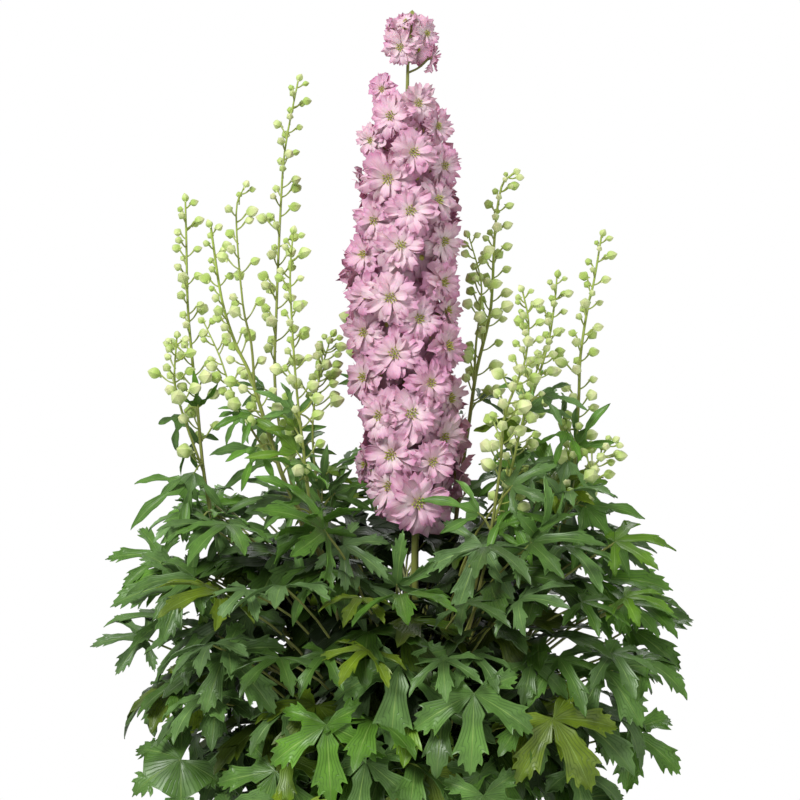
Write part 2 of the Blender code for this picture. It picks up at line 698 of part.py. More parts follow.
def build_bud_stems(layout):
    for name in BUD_STEMS:
        plan = BUD_STEMS[name]
        foot = mm(plan["path"][-1][0], plan["depth"], 0)
        for attempt in range(STEM_TRIES):
            spot = layout.spots_near(foot, *STEM_CROWN)[attempt % 4]
            push = ((attempt // 4 + 1) // 2) * (SIDE_STEP if attempt // 4 % 2 else -SIDE_STEP)
            if layout.is_clear(bud_stem_shells(name, spot, push, CLEAR)):
                shells = bud_stem_shells(name, spot, push)
                fuse("bud_stem_" + name, shells)
                layout.take(spot, plan["foot"] * MM, shells)
                break


# The basal leaves

def stalk_points(spot, hub, along):
    # Straight up out of the hole, then arching out to the blade
    start = foot_points(spot)
    rise = start[1]
    height = hub.z - rise.z
    first = rise + Vector((0, 0, max(0.03, height * 0.55)))
    out = Vector((hub.x - spot.x, hub.y - spot.y, 0))
    arrive = (out.normalized() * 0.7 + Vector((0, 0, 0.5)) + along * 0.5).normalized()
    second = hub - arrive * (0.06 + 0.12 * out.length)
    points = []
    for step in range(1, STALK_SPANS + 1):
        t = step / STALK_SPANS
        points.append(rise * (1 - t) ** 3 + first * 3 * t * (1 - t) ** 2 + second * 3 * t * t * (1 - t)
                      + hub * t ** 3)
    return start + points


def leaf_shells(spot, hub, along, face, length, kind, turn, grow=0.0):
    line = stalk_points(spot, hub, along)
    line[-1] = hub + along * STALK_INSET
    radii = [STALK_RADIUS * (1.15 - 0.5 * index / (len(line) - 1)) for index in range(len(line))]
    return [tube(line, radii, 0, grow),
            leaf_blade(hub, along, face, length, kind, LEAF_DROOP, turn, grow)]


def leaf_plans():
    plans = []
    for x, y, z, heading, lean, length, kind in FRONT_LEAVES:
        along, face = leaf_frame(heading, lean)
        plans.append((mm(x, y, z), along, face, length * MM, kind))
    draw = random.Random(11)
    near, far = FILL_RADIUS
    low, high = FILL_HEIGHT
    for index in range(FILL_LEAVES):
        angle = math.radians(FILL_START + 137.5 * index)
        out = Vector((math.cos(angle), math.sin(angle), 0))
        share = (index * 7 % FILL_LEAVES) / (FILL_LEAVES - 1)
        height = low + (high - low) * share
        hub = out * (far - (far - near) * share) * draw.uniform(0.85, 1.1) + Vector((0, 0, height))
        along = (out * 0.75 + Vector((0, 0, -0.75 + 1.0 * share))).normalized()
        face = frame_for(along, out * 0.4 + Vector((0, 0, 0.9)))[0]
        plans.append((hub, along, face, draw.uniform(0.084, 0.098), "broad"))
    return plans


def build_leaves(layout):
    shifts = [Vector((0, -1, 0)), Vector((0, 1, 0)), Vector((0, 0, -1)), Vector((0, 0, 1)), Vector((-1, 0, 0)),
              Vector((1, 0, 0))]
    placed = 0
    for index, (hub, along, face, length, kind) in enumerate(leaf_plans()):
        turn = index * 1.7
        for attempt in range(LEAF_TRIES):
            spot = layout.spots_near(hub, *LEAF_CROWN)[attempt % 3]
            round_number = attempt // 3
            move = shifts[round_number % 6] * (SIDE_STEP * ((round_number + 5) // 6))
            size = length * (1 - 0.006 * round_number)
            if layout.is_clear(leaf_shells(spot, hub + move, along, face, size, kind, turn, CLEAR)):
                shells = leaf_shells(spot, hub + move, along, face, size, kind, turn)
                placed += 1
                fuse("leaf_%02d" % placed, shells)
                layout.take(spot, STALK_RADIUS * 1.15, shells)
                break


def paint(thing, name, colour, roughness, metallic=0.0):
    finish = bpy.data.materials.get(name)
    if finish is None:
        finish = bpy.data.materials.new(name)
        finish.use_nodes = True
        shader = finish.node_tree.nodes["Principled BSDF"]
        shader.inputs["Base Color"].default_value = (*colour, 1)
        shader.inputs["Roughness"].default_value = roughness
        shader.inputs["Metallic"].default_value = metallic
    thing.data.materials.clear()
    thing.data.materials.append(finish)


def paint_all():
    for thing in parts.objects:
        if thing.name == "pot":
            paint(thing, "pot_plastic", COLOURS["pot"], 0.5)
        elif thing.name == "soil":
            paint(thing, "potting_soil", COLOURS["soil"], 0.95)
        elif thing.name in ("flower_head", "flower_tip"):
            paint(thing, "petal", COLOURS["petal"], 0.55)
        elif thing.name.startswith("leaf"):
            paint(thing, "leaf_green", COLOURS["leaf"], 0.5)
        else:
            paint(thing, "stem_green", COLOURS["stem"], 0.5)


for old_object in list(bpy.data.objects):
    bpy.data.objects.remove(old_object)
parts = bpy.data.collections.new("delphinium")
bpy.context.scene.collection.children.link(parts)

crown = Layout()
finish_pot(build_pot())
build_flowers(crown)
build_bud_stems(crown)
build_leaves(crown)
build_soil(crown)
paint_all()
print("triangles", sum(len(p.vertices) - 2 for thing in parts.objects for p in thing.data.polygons))
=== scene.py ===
import math
import random

import bmesh
import bpy
import numpy as np
from mathutils import Matrix, Vector


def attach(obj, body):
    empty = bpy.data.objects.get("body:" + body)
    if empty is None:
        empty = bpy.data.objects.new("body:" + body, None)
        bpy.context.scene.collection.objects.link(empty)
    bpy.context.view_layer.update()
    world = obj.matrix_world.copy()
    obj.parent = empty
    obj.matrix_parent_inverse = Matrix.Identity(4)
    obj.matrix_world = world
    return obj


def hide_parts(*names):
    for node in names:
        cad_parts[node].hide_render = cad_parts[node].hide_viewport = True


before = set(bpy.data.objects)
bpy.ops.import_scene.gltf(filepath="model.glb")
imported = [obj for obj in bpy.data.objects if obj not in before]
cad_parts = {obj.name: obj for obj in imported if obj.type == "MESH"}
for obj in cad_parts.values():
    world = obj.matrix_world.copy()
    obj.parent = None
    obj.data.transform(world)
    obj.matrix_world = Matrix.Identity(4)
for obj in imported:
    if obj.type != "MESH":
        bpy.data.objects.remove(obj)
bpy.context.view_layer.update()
print("frame loaded with", len(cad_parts), "nodes")

# The solids' own measures, in metres
milli = 0.001
golden = math.pi * (3 - math.sqrt(5))
upward = Vector((0, 0, 1))

potHeight = 0.200
potBaseRadius = 0.078
potTopRadius = 0.104
potRimRadius = 0.112
potRimHeight = 0.024
potWall = 0.0022
lipStep = 0.003         # how far the wall stands in below the rim
footStep = 0.002        # how far it stands out above the base
drainRadius = 0.006
drainRing = 0.050
drainCount = 4

soilTop = 0.186
holeFloor = 0.1623
standing = 0.198        # up to here a stalk is straight
spotPitch = 0.0088      # how closely the stalks stand at the crown
spotCount = 58
stalkRadius = 0.0017
stalkSpans = 4
floretReach = 0.049     # from the spike's axis to a floret's face
sideTurn = 0.72         # how far the florets at the sides turn outwards
petalDraws = 10         # random draws that the solids take for a floret's petals

# The flowering stem: x and z in millimetres, its radius in millimetres
flowerPath = [
    (8, 300, 4.4), (6, 420, 4.2), (5, 500, 4.0), (5, 545, 3.9), (-1, 620, 3.6), (-5, 700, 3.4),
    (-9, 780, 3.1), (-11, 840, 2.8), (-9, 910, 2.5), (-5, 965, 2.2), (-3, 1005, 1.9), (-2, 1040, 1.6),
    (1, 1066, 1.3), (2, 1083, 1.1)]
footRadius = 4.6
headSpan = (0.545, 1.008)

# Florets seen from the front: x and z of the middle and the width, in millimetres
frontFlorets = [
    (8, 990, 40), (-19, 975, 46), (-28, 1005, 33), (27, 966, 38), (-40, 951, 34), (3, 937, 49),
    (-22, 910, 56), (27, 888, 46), (0, 876, 50), (-36, 866, 46), (33, 846, 47), (-10, 839, 51),
    (-46, 831, 46), (32, 803, 48), (-20, 786, 54), (8, 763, 49), (-46, 750, 48), (37, 735, 50),
    (-15, 727, 57), (-46, 702, 48), (20, 696, 48), (39, 680, 50), (2, 664, 57), (-30, 662, 50),
    (33, 640, 52), (-18, 622, 60), (22, 614, 48), (-46, 610, 40), (-20, 590, 50), (8, 573, 62),
    (38, 772, 48), (34, 925, 42), (-44, 788, 46), (40, 830, 40)]
backFlorets = 20
backSpan = (0.588, 0.985)

# The few florets at the tip: x, y and z of the middle, the width, and the degrees round from the front
tipFloretPlaces = [
    (-9, -17, 1050, 38, -20), (16, -12, 1064, 32, 40), (22, 2, 1040, 30, 100), (-20, -2, 1070, 24, -80),
    (-6, 14, 1072, 32, 190), (8, 15, 1050, 34, 160)]

# Bud stems: depth at the top, how many buds, the top's x and z and so on down the stem, in millimetres,
# then side branches as lists of the same points, and narrow leaves as
# (height, length, heading in the front view in degrees, lean towards the front in degrees)
budStems = {
    "left_tall": dict(
        depth=70, buds=9, foot=2.4,
        path=[(-121, 1022), (-135, 949), (-140, 880), (-144, 778), (-145, 683), (-128, 590), (-90, 440)],
        branches=[], leaves=[(600, 90, 160, -10), (520, 80, 200, -30)]),
    "left_outer": dict(
        depth=-25, buds=8, foot=2.6,
        path=[(-236, 887), (-235, 843), (-234, 784), (-231, 740), (-224, 670), (-216, 590), (-196, 497),
              (-150, 380)],
        branches=[[(-243, 744), (-246, 697), (-236, 656), (-222, 600)]],
        leaves=[(585, 85, 205, 25), (560, 70, 255, 30), (555, 70, 300, 20)]),
    "left_inner": dict(
        depth=-75, buds=7, foot=3.2,
        path=[(-206, 858), (-195, 784), (-181, 738), (-168, 711), (-157, 677), (-143, 632), (-130, 593),
              (-100, 530), (-66, 440)],
        branches=[[(-169, 898), (-178, 870), (-172, 779), (-164, 738), (-160, 690)],
                  [(-216, 760), (-199, 724), (-184, 683), (-160, 640), (-142, 610)]],
        leaves=[(540, 70, 230, 20), (480, 80, 350, 25)]),
    "left_near": dict(
        depth=-105, buds=8, foot=2.2,
        path=[(-120, 850), (-123, 805), (-120, 737), (-116, 683), (-110, 629), (-104, 576), (-80, 470),
              (-45, 350)],
        branches=[], leaves=[(560, 60, 140, 20), (500, 60, 240, 30)]),
    "left_low": dict(
        depth=25, buds=6, foot=2.0,
        path=[(-84, 746), (-97, 700), (-104, 650), (-98, 580), (-70, 450)],
        branches=[], leaves=[(560, 60, 30, 0)]),
    "right_tall": dict(
        depth=62, buds=9, foot=2.8,
        path=[(112, 922), (99, 907), (92, 860), (89, 796), (85, 762), (72, 709), (64, 655), (56, 600),
              (40, 470)],
        branches=[[(63, 852), (76, 805), (75, 772), (71, 735), (70, 690)]],
        leaves=[(560, 70, 40, -30)]),
    "right_outer": dict(
        depth=-10, buds=9, foot=2.7,
        path=[(202, 851), (194, 803), (188, 778), (180, 725), (178, 675), (173, 600), (162, 545), (140, 470),
              (95, 350)],
        branches=[[(212, 636), (191, 606), (178, 580), (168, 550)]],
        leaves=[(565, 95, 315, 20), (548, 60, 80, 10), (480, 75, 20, -20)]),
    "right_mid": dict(
        depth=45, buds=8, foot=2.4,
        path=[(158, 809), (156, 785), (149, 740), (134, 689), (120, 648), (106, 595), (85, 500), (55, 370)],
        branches=[], leaves=[(560, 70, 60, -20)]),
    "right_near": dict(
        depth=-80, buds=8, foot=2.2,
        path=[(116, 791), (122, 760), (119, 723), (110, 697), (97, 660), (92, 600), (76, 500), (45, 370)],
        branches=[], leaves=[(545, 65, 150, 15)]),
    "right_low": dict(
        depth=-45, buds=6, foot=2.3,
        path=[(140, 730), (129, 700), (117, 655), (104, 600), (84, 540), (68, 480), (45, 350)],
        branches=[], leaves=[(552, 75, 325, 20)]),
    "back_left": dict(
        depth=150, buds=7, foot=2.4,
        path=[(-52, 842), (-48, 780), (-50, 700), (-44, 610), (-28, 480)],
        branches=[], leaves=[(600, 75, 150, -60), (530, 75, 30, -60)]),
}

# Basal leaves: x, y and z of the hub, the heading of the middle lobe in the front view in degrees,
# its lean towards the front in degrees, the length of the middle lobe, in millimetres, and the kind
frontLeaves = [
    (64, -150, 385, 268, 25, 86, "broad"), (-11, -125, 412, 262, 30, 92, "broad"),
    (-45, -140, 315, 258, 20, 76, "broad"), (18, -120, 300, 285, 15, 70, "broad"),
    (74, -75, 530, 245, 25, 82, "fine"), (-69, -85, 512, 335, 25, 66, "fine"),
    (-14, -60, 486, 86, 30, 60, "fine"), (200, -70, 402, 312, 25, 76, "broad"),
    (145, -115, 356, 305, 25, 92, "broad"), (202, 0, 486, 4, 10, 92, "broad"),
    (-190, -105, 420, 322, 25, 82, "broad"), (-238, -25, 486, 184, 15, 84, "broad"),
    (-238, -70, 306, 205, 20, 66, "round"), (-222, 10, 372, 192, 10, 66, "broad"),
    (-268, 45, 508, 168, 0, 66, "fine"), (-284, 20, 424, 178, 10, 62, "fine"),
    (236, 25, 322, 330, 10, 76, "broad"), (-138, -110, 300, 246, 20, 80, "broad"),
    (-85, -150, 362, 275, 25, 84, "broad"), (74, -150, 280, 278, 15, 76, "broad"),
    (166, -70, 262, 322, 20, 80, "broad"), (238, 60, 430, 20, -10, 84, "broad")]
fillLeaves = 14
fillStart = 20
fillRadius = (0.085, 0.215)
fillHeight = (0.265, 0.50)

# The solids' rule tries place after place until a leaf is clear of those before it: the try that each leaf
# took, where not the first, and the leaves that found no place
leafTries = {5: 28, 8: 18, 9: 39, 18: 6, 19: 3, 23: 21, 24: 7, 32: 6, 33: 24, 34: 36, 35: 75}
leavesLeftOut = (27, 29, 31)

# Lobes of each kind of leaf: their angles in degrees from the middle one, their lengths against it,
# how deep the cuts between them go, and how wide they are
leafKinds = {
    "broad": dict(angles=(-118, -62, 0, 62, 118), lengths=(0.62, 0.88, 1.0, 0.88, 0.62), cut=0.30, wide=0.92),
    "fine": dict(angles=(-105, -52, 0, 52, 105), lengths=(0.66, 0.86, 1.0, 0.86, 0.66), cut=0.22, wide=0.60),
    "round": dict(angles=(-120, -60, 0, 60, 120), lengths=(0.85, 0.95, 1.0, 0.95, 0.85), cut=0.62, wide=1.0),
    "narrow": dict(angles=(-50, 0, 50), lengths=(0.80, 1.0, 0.80), cut=0.26, wide=0.85)}

def mm(x, y, z):
    return Vector((x, y, z)) * milli


def smooth(t):
    return t * t * (3 - 2 * t)


def frameFor(direction, hint):
    # Two unit vectors square to the direction, the first as close to the hint as can be
    direction = direction.normalized()
    first = hint - direction * hint.dot(direction)
    if first.length < 0.01:
        first = Vector((1, 0, 0)) - direction * direction.x
    first.normalize()
    return first, direction.cross(first)


def headed(angle):
    # A level direction, its angle counted round from the front
    return Vector((math.sin(angle), -math.cos(angle), 0))


# Where every stem, leaf, bud and floret stands, by the same rules and draws as the solids

def footPoints(spot):
    # A stalk stands straight in its hole and for a little above it
    return [spot + upward * holeFloor, spot + upward * standing]


def axisAt(height):
    # The middle of the flowering stem at a height
    for low, high in zip(flowerPath, flowerPath[1:]):
        if low[1] * milli <= height <= high[1] * milli:
            share = (height - low[1] * milli) / ((high[1] - low[1]) * milli)
            return Vector((low[0] + (high[0] - low[0]) * share, 0, 0)) * milli + upward * height
    return mm(flowerPath[-1][0], 0, 0) + upward * height


def floret(centre, facing, width, draw):
    # Its middle, the way it faces, its roll and its size
    roll = draw.uniform(0, math.tau)
    for count in range(petalDraws):
        draw.random()
    return centre, facing, roll, width / 2


def facingFloret(middle, angle, look, reach, width, draw):
    # A floret on a stalk from the core; the look is the way it faces, round from the front
    ahead = headed(look)
    tilt = draw.uniform(-0.18, 0.16)
    turn = draw.uniform(-0.15, 0.15)
    facing = (ahead + Vector((-ahead.y, ahead.x, 0)) * turn + upward * tilt).normalized()
    return floret(middle + headed(angle) * reach, facing, width, draw)


def headFlorets():
    draw = random.Random(7)
    florets = []
    for index, (x, z, width) in enumerate(frontFlorets):
        middle = axisAt(z * milli)
        reach = floretReach * min(1.0, 0.60 + (headSpan[1] - z * milli) * 5) + (index % 3 - 1) * 0.004
        angle = math.asin(max(-0.99, min(0.99, (x * milli - middle.x) / reach)))
        florets.append(facingFloret(middle, angle, angle * sideTurn, reach, width * milli, draw))
    low, high = backSpan
    for index in range(backFlorets):
        height = low + (high - low) * (index + 0.5) / backFlorets
        reach = floretReach * min(1.0, 0.62 + (headSpan[1] - height) * 5)
        angle = math.pi + (index * 1.35 % 2.5 - 1.25)
        width = (54 - 14 * max(0, (height - 0.85) / 0.15)) * milli
        florets.append(facingFloret(axisAt(height), angle, angle, reach, width, draw))
    return florets


def tipFlorets():
    draw = random.Random(3)
    florets = []
    for x, y, z, width, turn in tipFloretPlaces:
        facing = (headed(math.radians(turn)) + upward * draw.uniform(-0.3, 0.1)).normalized()
        florets.append(floret(mm(x, y, z), facing, width * milli, draw))
    return florets


def nearestOn(line, place):
    # The point of a line of straight runs that is closest to the place
    points = []
    for start, end in zip(line, line[1:]):
        run = end - start
        points.append(start + run * max(0.0, min(1.0, (place - start).dot(run) / run.length_squared)))
    return min(points, key=lambda point: (point - place).length)


def alongLine(line, distance):
    # The point and the direction at a distance back from the top
    for a, b in zip(reversed(line[1:]), reversed(line[:-1])):
        run = (b - a).length
        if distance <= run:
            return a.lerp(b, distance / run), (a - b).normalized()
        distance -= run
    return line[0], (line[1] - line[0]).normalized()


# Buds up a stem, small and close at the top, larger on longer stalks lower down: those of the solids and
# those between them. A pair of measures is the topmost bud's and what the lowest has more
budRows = {
    "main": {"first": 0.7, "top": 0.012, "turn": 2.4, "swing": 0.4, "rise": 0.7, "reach": (0.011, 0.014),
             "size": (0.0045, 0.0027), "vary": (0.88, 1.12)},
    "extra": {"first": 0.3, "top": 0.006, "turn": 2.1, "swing": 0.5, "rise": 0.75, "reach": (0.008, 0.012),
              "size": (0.0032, 0.0022), "vary": (0.8, 1.2)}}


def budRow(points, count, draw, look):
    # A row of buds as (start, end, radius)
    buds = []
    total = sum((b - a).length for a, b in zip(points, points[1:]))
    for index in range(count):
        share = (index + look["first"]) / count
        place, direction = alongLine(points, min(total * 0.94, look["top"] + (total - 0.02) * share ** 1.15))
        angle = index * look["turn"] + draw.uniform(-look["swing"], look["swing"])
        first, second = frameFor(direction, Vector((1, 0, 0)))
        out = first * math.cos(angle) + second * math.sin(angle)
        reach, size = (near + more * share for near, more in (look["reach"], look["size"]))
        end = place + (out * 0.85 + direction * look["rise"]).normalized() * reach
        buds.append((place, end, size * draw.uniform(*look["vary"])))
    return buds


def leafFrame(heading, lean):
    # Heading in the front view, lean towards the front; the face looks forward and up
    turn, tip = math.radians(heading), math.radians(lean)
    along = Vector((math.cos(turn) * math.cos(tip), -math.sin(tip), math.sin(turn) * math.cos(tip)))
    return along, frameFor(along, Vector((0, -0.75, 0.66)))[0]


def stemLeaf(line, height, length, heading, lean, draw):
    # Where a narrow cut leaf leaves the stem, its hub and how it is held out
    place = line[-1]
    for a, b in zip(line, line[1:]):
        if a.z <= height <= b.z:
            place = a.lerp(b, (height - a.z) / (b.z - a.z))
    along, face = leafFrame(heading, lean)
    rise = (along * 0.8 + upward * 0.6).normalized()
    return place, place + rise * 0.020, along, face, length, draw.uniform(0, 6)


def budStemPlan(name, spot):
    # The stem's line, its branches, the runs that carry buds, every bud and every narrow leaf
    table = budStems[name]
    draw = random.Random(sum(map(ord, name)))
    top, depth = table["path"][0][1] * milli, table["depth"] * milli

    def setBack(x, z):
        share = (z * milli - soilTop) / (top - soilTop)
        return Vector((x * milli, spot.y + (depth - spot.y) * smooth(share) ** 0.8, z * milli))

    line = footPoints(spot) + [setBack(x, z) for x, z in reversed(table["path"])]
    radii = [table["foot"] * milli * (1 - 0.62 * index / (len(line) - 1)) for index in range(len(line))]
    runs, branches, buds = [(line[4:], table["buds"])], [], []
    for number, branch in enumerate(table["branches"]):
        points = [setBack(x, z) for x, z in reversed(branch)]
        points[0] = nearestOn(line, points[0])
        lean = Vector((0, 0.010 if number % 2 else -0.010, 0))
        points[1:] = [point + lean * (index + 1) for index, point in enumerate(points[1:])]
        branches.append((points, [1.5 * milli - 0.2 * milli * index for index in range(len(points))]))
        runs.append((points[1:], max(3, table["buds"] // 3)))
    for points, count in runs:
        tip, direction = alongLine(points, 0.0)
        buds += [(tip - direction * 0.004, tip, 0.0036)] + budRow(points, count, draw, budRows["main"])
    leaves = [stemLeaf(line, height * milli, length * milli, heading, lean, draw)
              for height, length, heading, lean in table["leaves"]]
    return dict(line=line, radii=radii, branches=branches, runs=runs, buds=buds, leaves=leaves)


def stalkPoints(spot, hub, along):
    # Straight up out of the hole, then arching out to the blade
    start = footPoints(spot)
    rise = start[1]
    first = rise + upward * max(0.03, (hub.z - rise.z) * 0.55)
    out = Vector((hub.x - spot.x, hub.y - spot.y, 0))
    arrive = (out.normalized() * 0.7 + upward * 0.5 + along * 0.5).normalized()
    second = hub - arrive * (0.06 + 0.12 * out.length)
    points = []
    for step in range(1, stalkSpans + 1):
        t = step / stalkSpans
        points.append(rise * (1 - t) ** 3 + first * 3 * t * (1 - t) ** 2 + second * 3 * t * t * (1 - t)
                      + hub * t ** 3)
    return start + points


def leafPlans():
    plans = [(mm(x, y, z), *leafFrame(heading, lean), length * milli, kind)
             for x, y, z, heading, lean, length, kind in frontLeaves]
    draw = random.Random(11)
    near, far = fillRadius
    low, high = fillHeight
    for index in range(fillLeaves):
        angle = math.radians(fillStart + 137.5 * index)
        out = Vector((math.cos(angle), math.sin(angle), 0))
        share = (index * 7 % fillLeaves) / (fillLeaves - 1)
        height = low + (high - low) * share
        hub = out * (far - (far - near) * share) * draw.uniform(0.85, 1.1) + upward * height
        along = (out * 0.75 + upward * (-0.75 + 1.0 * share)).normalized()
        face = frameFor(along, out * 0.4 + upward * 0.9)[0]
        plans.append((hub, along, face, draw.uniform(0.084, 0.098), "broad"))
    return plans


# The places at the crown for the feet of stems and leaves, and how far a leaf moves with each try
crown = {"stem": (0.22, 0.040), "leaf": (0.30, 0.062), "choices": 3, "step": 0.009, "shrink": 0.006}
shifts = [Vector((0, -1, 0)), Vector((0, 1, 0)), Vector((0, 0, -1)), Vector((0, 0, 1)), Vector((-1, 0, 0)),
          Vector((1, 0, 0))]


def placeAll():
    spots = []
    for index in range(spotCount):
        reach = spotPitch * math.sqrt(index + 0.3)
        spots.append(Vector((math.cos(index * golden) * reach, math.sin(index * golden) * reach, 0)))

    def takeSpot(target, spread, limit, choice=0):
        # The free place at the crown that is closest to a share of the way to the target
        flat = Vector((target.x, target.y, 0)) * spread
        if flat.length > limit:
            flat *= limit / flat.length
        spot = sorted(spots, key=lambda place: (place - flat).length)[choice]
        spots.remove(spot)
        return spot

    foot = footPoints(takeSpot(Vector((0, 0, 0)), 1, 1))
    flower = (foot + [mm(x, 0, z) for x, z, radius in flowerPath],
              [footRadius * milli] * 2 + [radius * milli for x, z, radius in flowerPath])
    plan = dict(flower=flower, head=headFlorets(), tip=tipFlorets(), stems={}, leaves=[])
    for name, stem in budStems.items():
        spot = takeSpot(mm(stem["path"][-1][0], stem["depth"], 0), *crown["stem"])
        plan["stems"][name] = budStemPlan(name, spot)
    for index, (hub, along, face, length, kind) in enumerate(leafPlans()):
        if index in leavesLeftOut:
            continue
        tried, choice = divmod(leafTries.get(index, 0), crown["choices"])
        spot = takeSpot(hub, *crown["leaf"], choice)
        hub = hub + shifts[tried % 6] * (crown["step"] * ((tried + 5) // 6))
        size = length * (1 - crown["shrink"] * tried)
        plan["leaves"].append((spot, hub, along, face, size, kind, index * 1.7))
    return plan


# Meshes gathered from many small shapes, each point with its own tone and light; on leaves the light value
# holds painted shade and painted light beside random brightness

class Pile:
    def __init__(self):
        self.points, self.faces, self.uvs, self.slots = [], [], [], []
        self.values = {"tone": [], "light": []}
        self.count = 0

    def add(self, points, faces, uvs, tone, light, slot=0):
        # uvs has one pair for each point; tone and light are one value, or one for each point
        self.points.append(np.asarray(points, dtype=float))
        self.faces += [[index + self.count for index in face] for face in faces]
        self.uvs.append(np.asarray(uvs, dtype=float))
        for title, value in (("tone", tone), ("light", light)):
            self.values[title].append(np.broadcast_to(np.asarray(value, dtype=float), len(points)))
        self.slots += [slot] * len(faces)
        self.count += len(points)

    def mesh(self, name, weldAt=0.0):
        made = bpy.data.meshes.new(name)
        made.from_pydata(np.concatenate(self.points).tolist(), [], self.faces)
        corners = np.zeros(len(made.loops), dtype=np.int32)
        made.loops.foreach_get("vertex_index", corners)
        layer = made.uv_layers.new(name="surface")
        layer.data.foreach_set("uv", np.concatenate(self.uvs)[corners].astype(np.float32).ravel())
        for title, values in self.values.items():
            attribute = made.attributes.new(title, "FLOAT", "POINT")
            attribute.data.foreach_set("value", np.concatenate(values).astype(np.float32))
        made.polygons.foreach_set("material_index", np.array(self.slots, dtype=np.int32))
        if weldAt > 0:
            shell = bmesh.new()
            shell.from_mesh(made)
            bmesh.ops.remove_doubles(shell, verts=shell.verts, dist=weldAt)
            bmesh.ops.recalc_face_normals(shell, faces=shell.faces)
            shell.to_mesh(made)
            shell.free()
        made.update()
        return made


def gridFaces(rows, width, closed=False):
    # Four-sided faces between rows of points, round to the first point again in a closed row
    faces = []
    for row in range(rows - 1):
        for column in range(width if closed else width - 1):
            a, b = row * width + column, row * width + (column + 1) % width
            faces.append((a, b, b + width, a + width))
    return faces


def meshFrom(shell, name):
    made = bpy.data.meshes.new(name)
    shell.to_mesh(made)
    shell.free()
    return made


def joined(meshes, name):
    whole = bmesh.new()
    for mesh in meshes:
        whole.from_mesh(mesh)
    return meshFrom(whole, name)


def newObject(name, mesh):
    thing = bpy.data.objects.new(name, mesh)
    bpy.context.scene.collection.objects.link(thing)
    return thing


def evaluated(thing):
    # The object's finished mesh, with its modifiers applied; the object goes
    depsgraph = bpy.context.evaluated_depsgraph_get()
    made = bpy.data.meshes.new_from_object(thing.evaluated_get(depsgraph))
    bpy.data.objects.remove(thing)
    return made


def inSlot(mesh, slot):
    mesh.polygons.foreach_set("material_index", np.full(len(mesh.polygons), slot, dtype=np.int32))
    return mesh


def thickened(mesh, thickness, slot=0):
    thing = newObject("thin", mesh)
    wall = thing.modifiers.new("wall", "SOLIDIFY")
    wall.thickness = thickness
    wall.offset = 0.0
    return inSlot(evaluated(thing), slot)


def finished(name, meshes, materials, replaces=(), angle=40):
    # One smooth-shaded piece from several meshes with the same layers
    made = joined(meshes, name)
    for material in materials:
        made.materials.append(material)
    made.shade_smooth()
    made.set_sharp_from_angle(angle=math.radians(angle))
    piece = newObject(name, made)
    if replaces:
        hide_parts(*replaces)
    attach(piece, "root")


def smoothPath(points, perSpan):
    # A curve through the given points
    ends = [points[0] * 2 - points[1]] + list(points) + [points[-1] * 2 - points[-2]]
    line = []
    for a, b, c, d in zip(ends, ends[1:], ends[2:], ends[3:]):
        for step in range(perSpan):
            t = step / perSpan
            line.append(0.5 * (2 * b + (c - a) * t + (2 * a - 5 * b + 4 * c - d) * t ** 2
                               + (3 * b - a - 3 * c + d) * t ** 3))
    return line + [points[-1]]


def addStem(pile, points, radii, sides=10, perSpan=4, tone=0.5, light=1.0, slot=0, ridges=0.0):
    # A round stem with closed ends; its radii follow the given points, its tone may run from one to another
    line = smoothPath(points, perSpan)
    width = np.interp(np.linspace(0, 1, len(line)), np.linspace(0, 1, len(radii)), radii)
    first = Vector((1, 0.13, 0.07))
    rows, uvs, length = [], [], 0.0
    for index, place in enumerate(line):
        ahead = line[min(index + 1, len(line) - 1)] - line[max(index - 1, 0)]
        first, second = frameFor(ahead, first)
        if index:
            length += (place - line[index - 1]).length
        for side in range(sides):
            turn = math.tau * side / sides
            reach = width[index] * (1 + ridges * math.cos(5 * turn))
            rows.append(place + first * math.cos(turn) * reach + second * math.sin(turn) * reach)
            uvs.append((side / sides, length * 10))
    last = (len(line) - 1) * sides
    faces = gridFaces(len(line), sides, True)
    faces += [tuple(range(sides))[::-1], tuple(range(last, last + sides))]
    if isinstance(tone, tuple):
        tone = np.repeat(np.linspace(*tone, len(line)), sides)
    pile.add(rows, faces, uvs, tone, light, slot)


# Leaves: lobes cut and toothed as on the real plant, on the solids' hubs and arcs

leafLook = {"thickness": 0.0006, "keel": 0.055, "ripple": 0.016, "droop": 0.75, "weld": 0.00005, "seed": 5}

# A lobe's right edge from the cut to the tip, as (across, along, along its midrib)
lobeEdge = [
    (0.130, 0.36, 0.33), (0.150, 0.46, 0.39), (0.190, 0.57, 0.44), (0.235, 0.67, 0.49),
    (0.262, 0.75, 0.53), (0.180, 0.715, 0.565), (0.150, 0.74, 0.61), (0.178, 0.82, 0.66),
    (0.170, 0.88, 0.70), (0.105, 0.84, 0.745), (0.085, 0.88, 0.80), (0.075, 0.94, 0.85),
    (0.030, 0.935, 0.91), (0.0, 1.0, 1.0)]
plainEdge = [lobeEdge[place] for place in (1, 3, 4, 5, 7, 9, 11, 13)]
smoothEdge = [
    (0.045, 0.36, 0.34), (0.075, 0.45, 0.45), (0.098, 0.55, 0.55), (0.108, 0.64, 0.64), (0.100, 0.73, 0.73),
    (0.080, 0.81, 0.81), (0.055, 0.88, 0.88), (0.028, 0.95, 0.95), (0.0, 1.0, 1.0)]


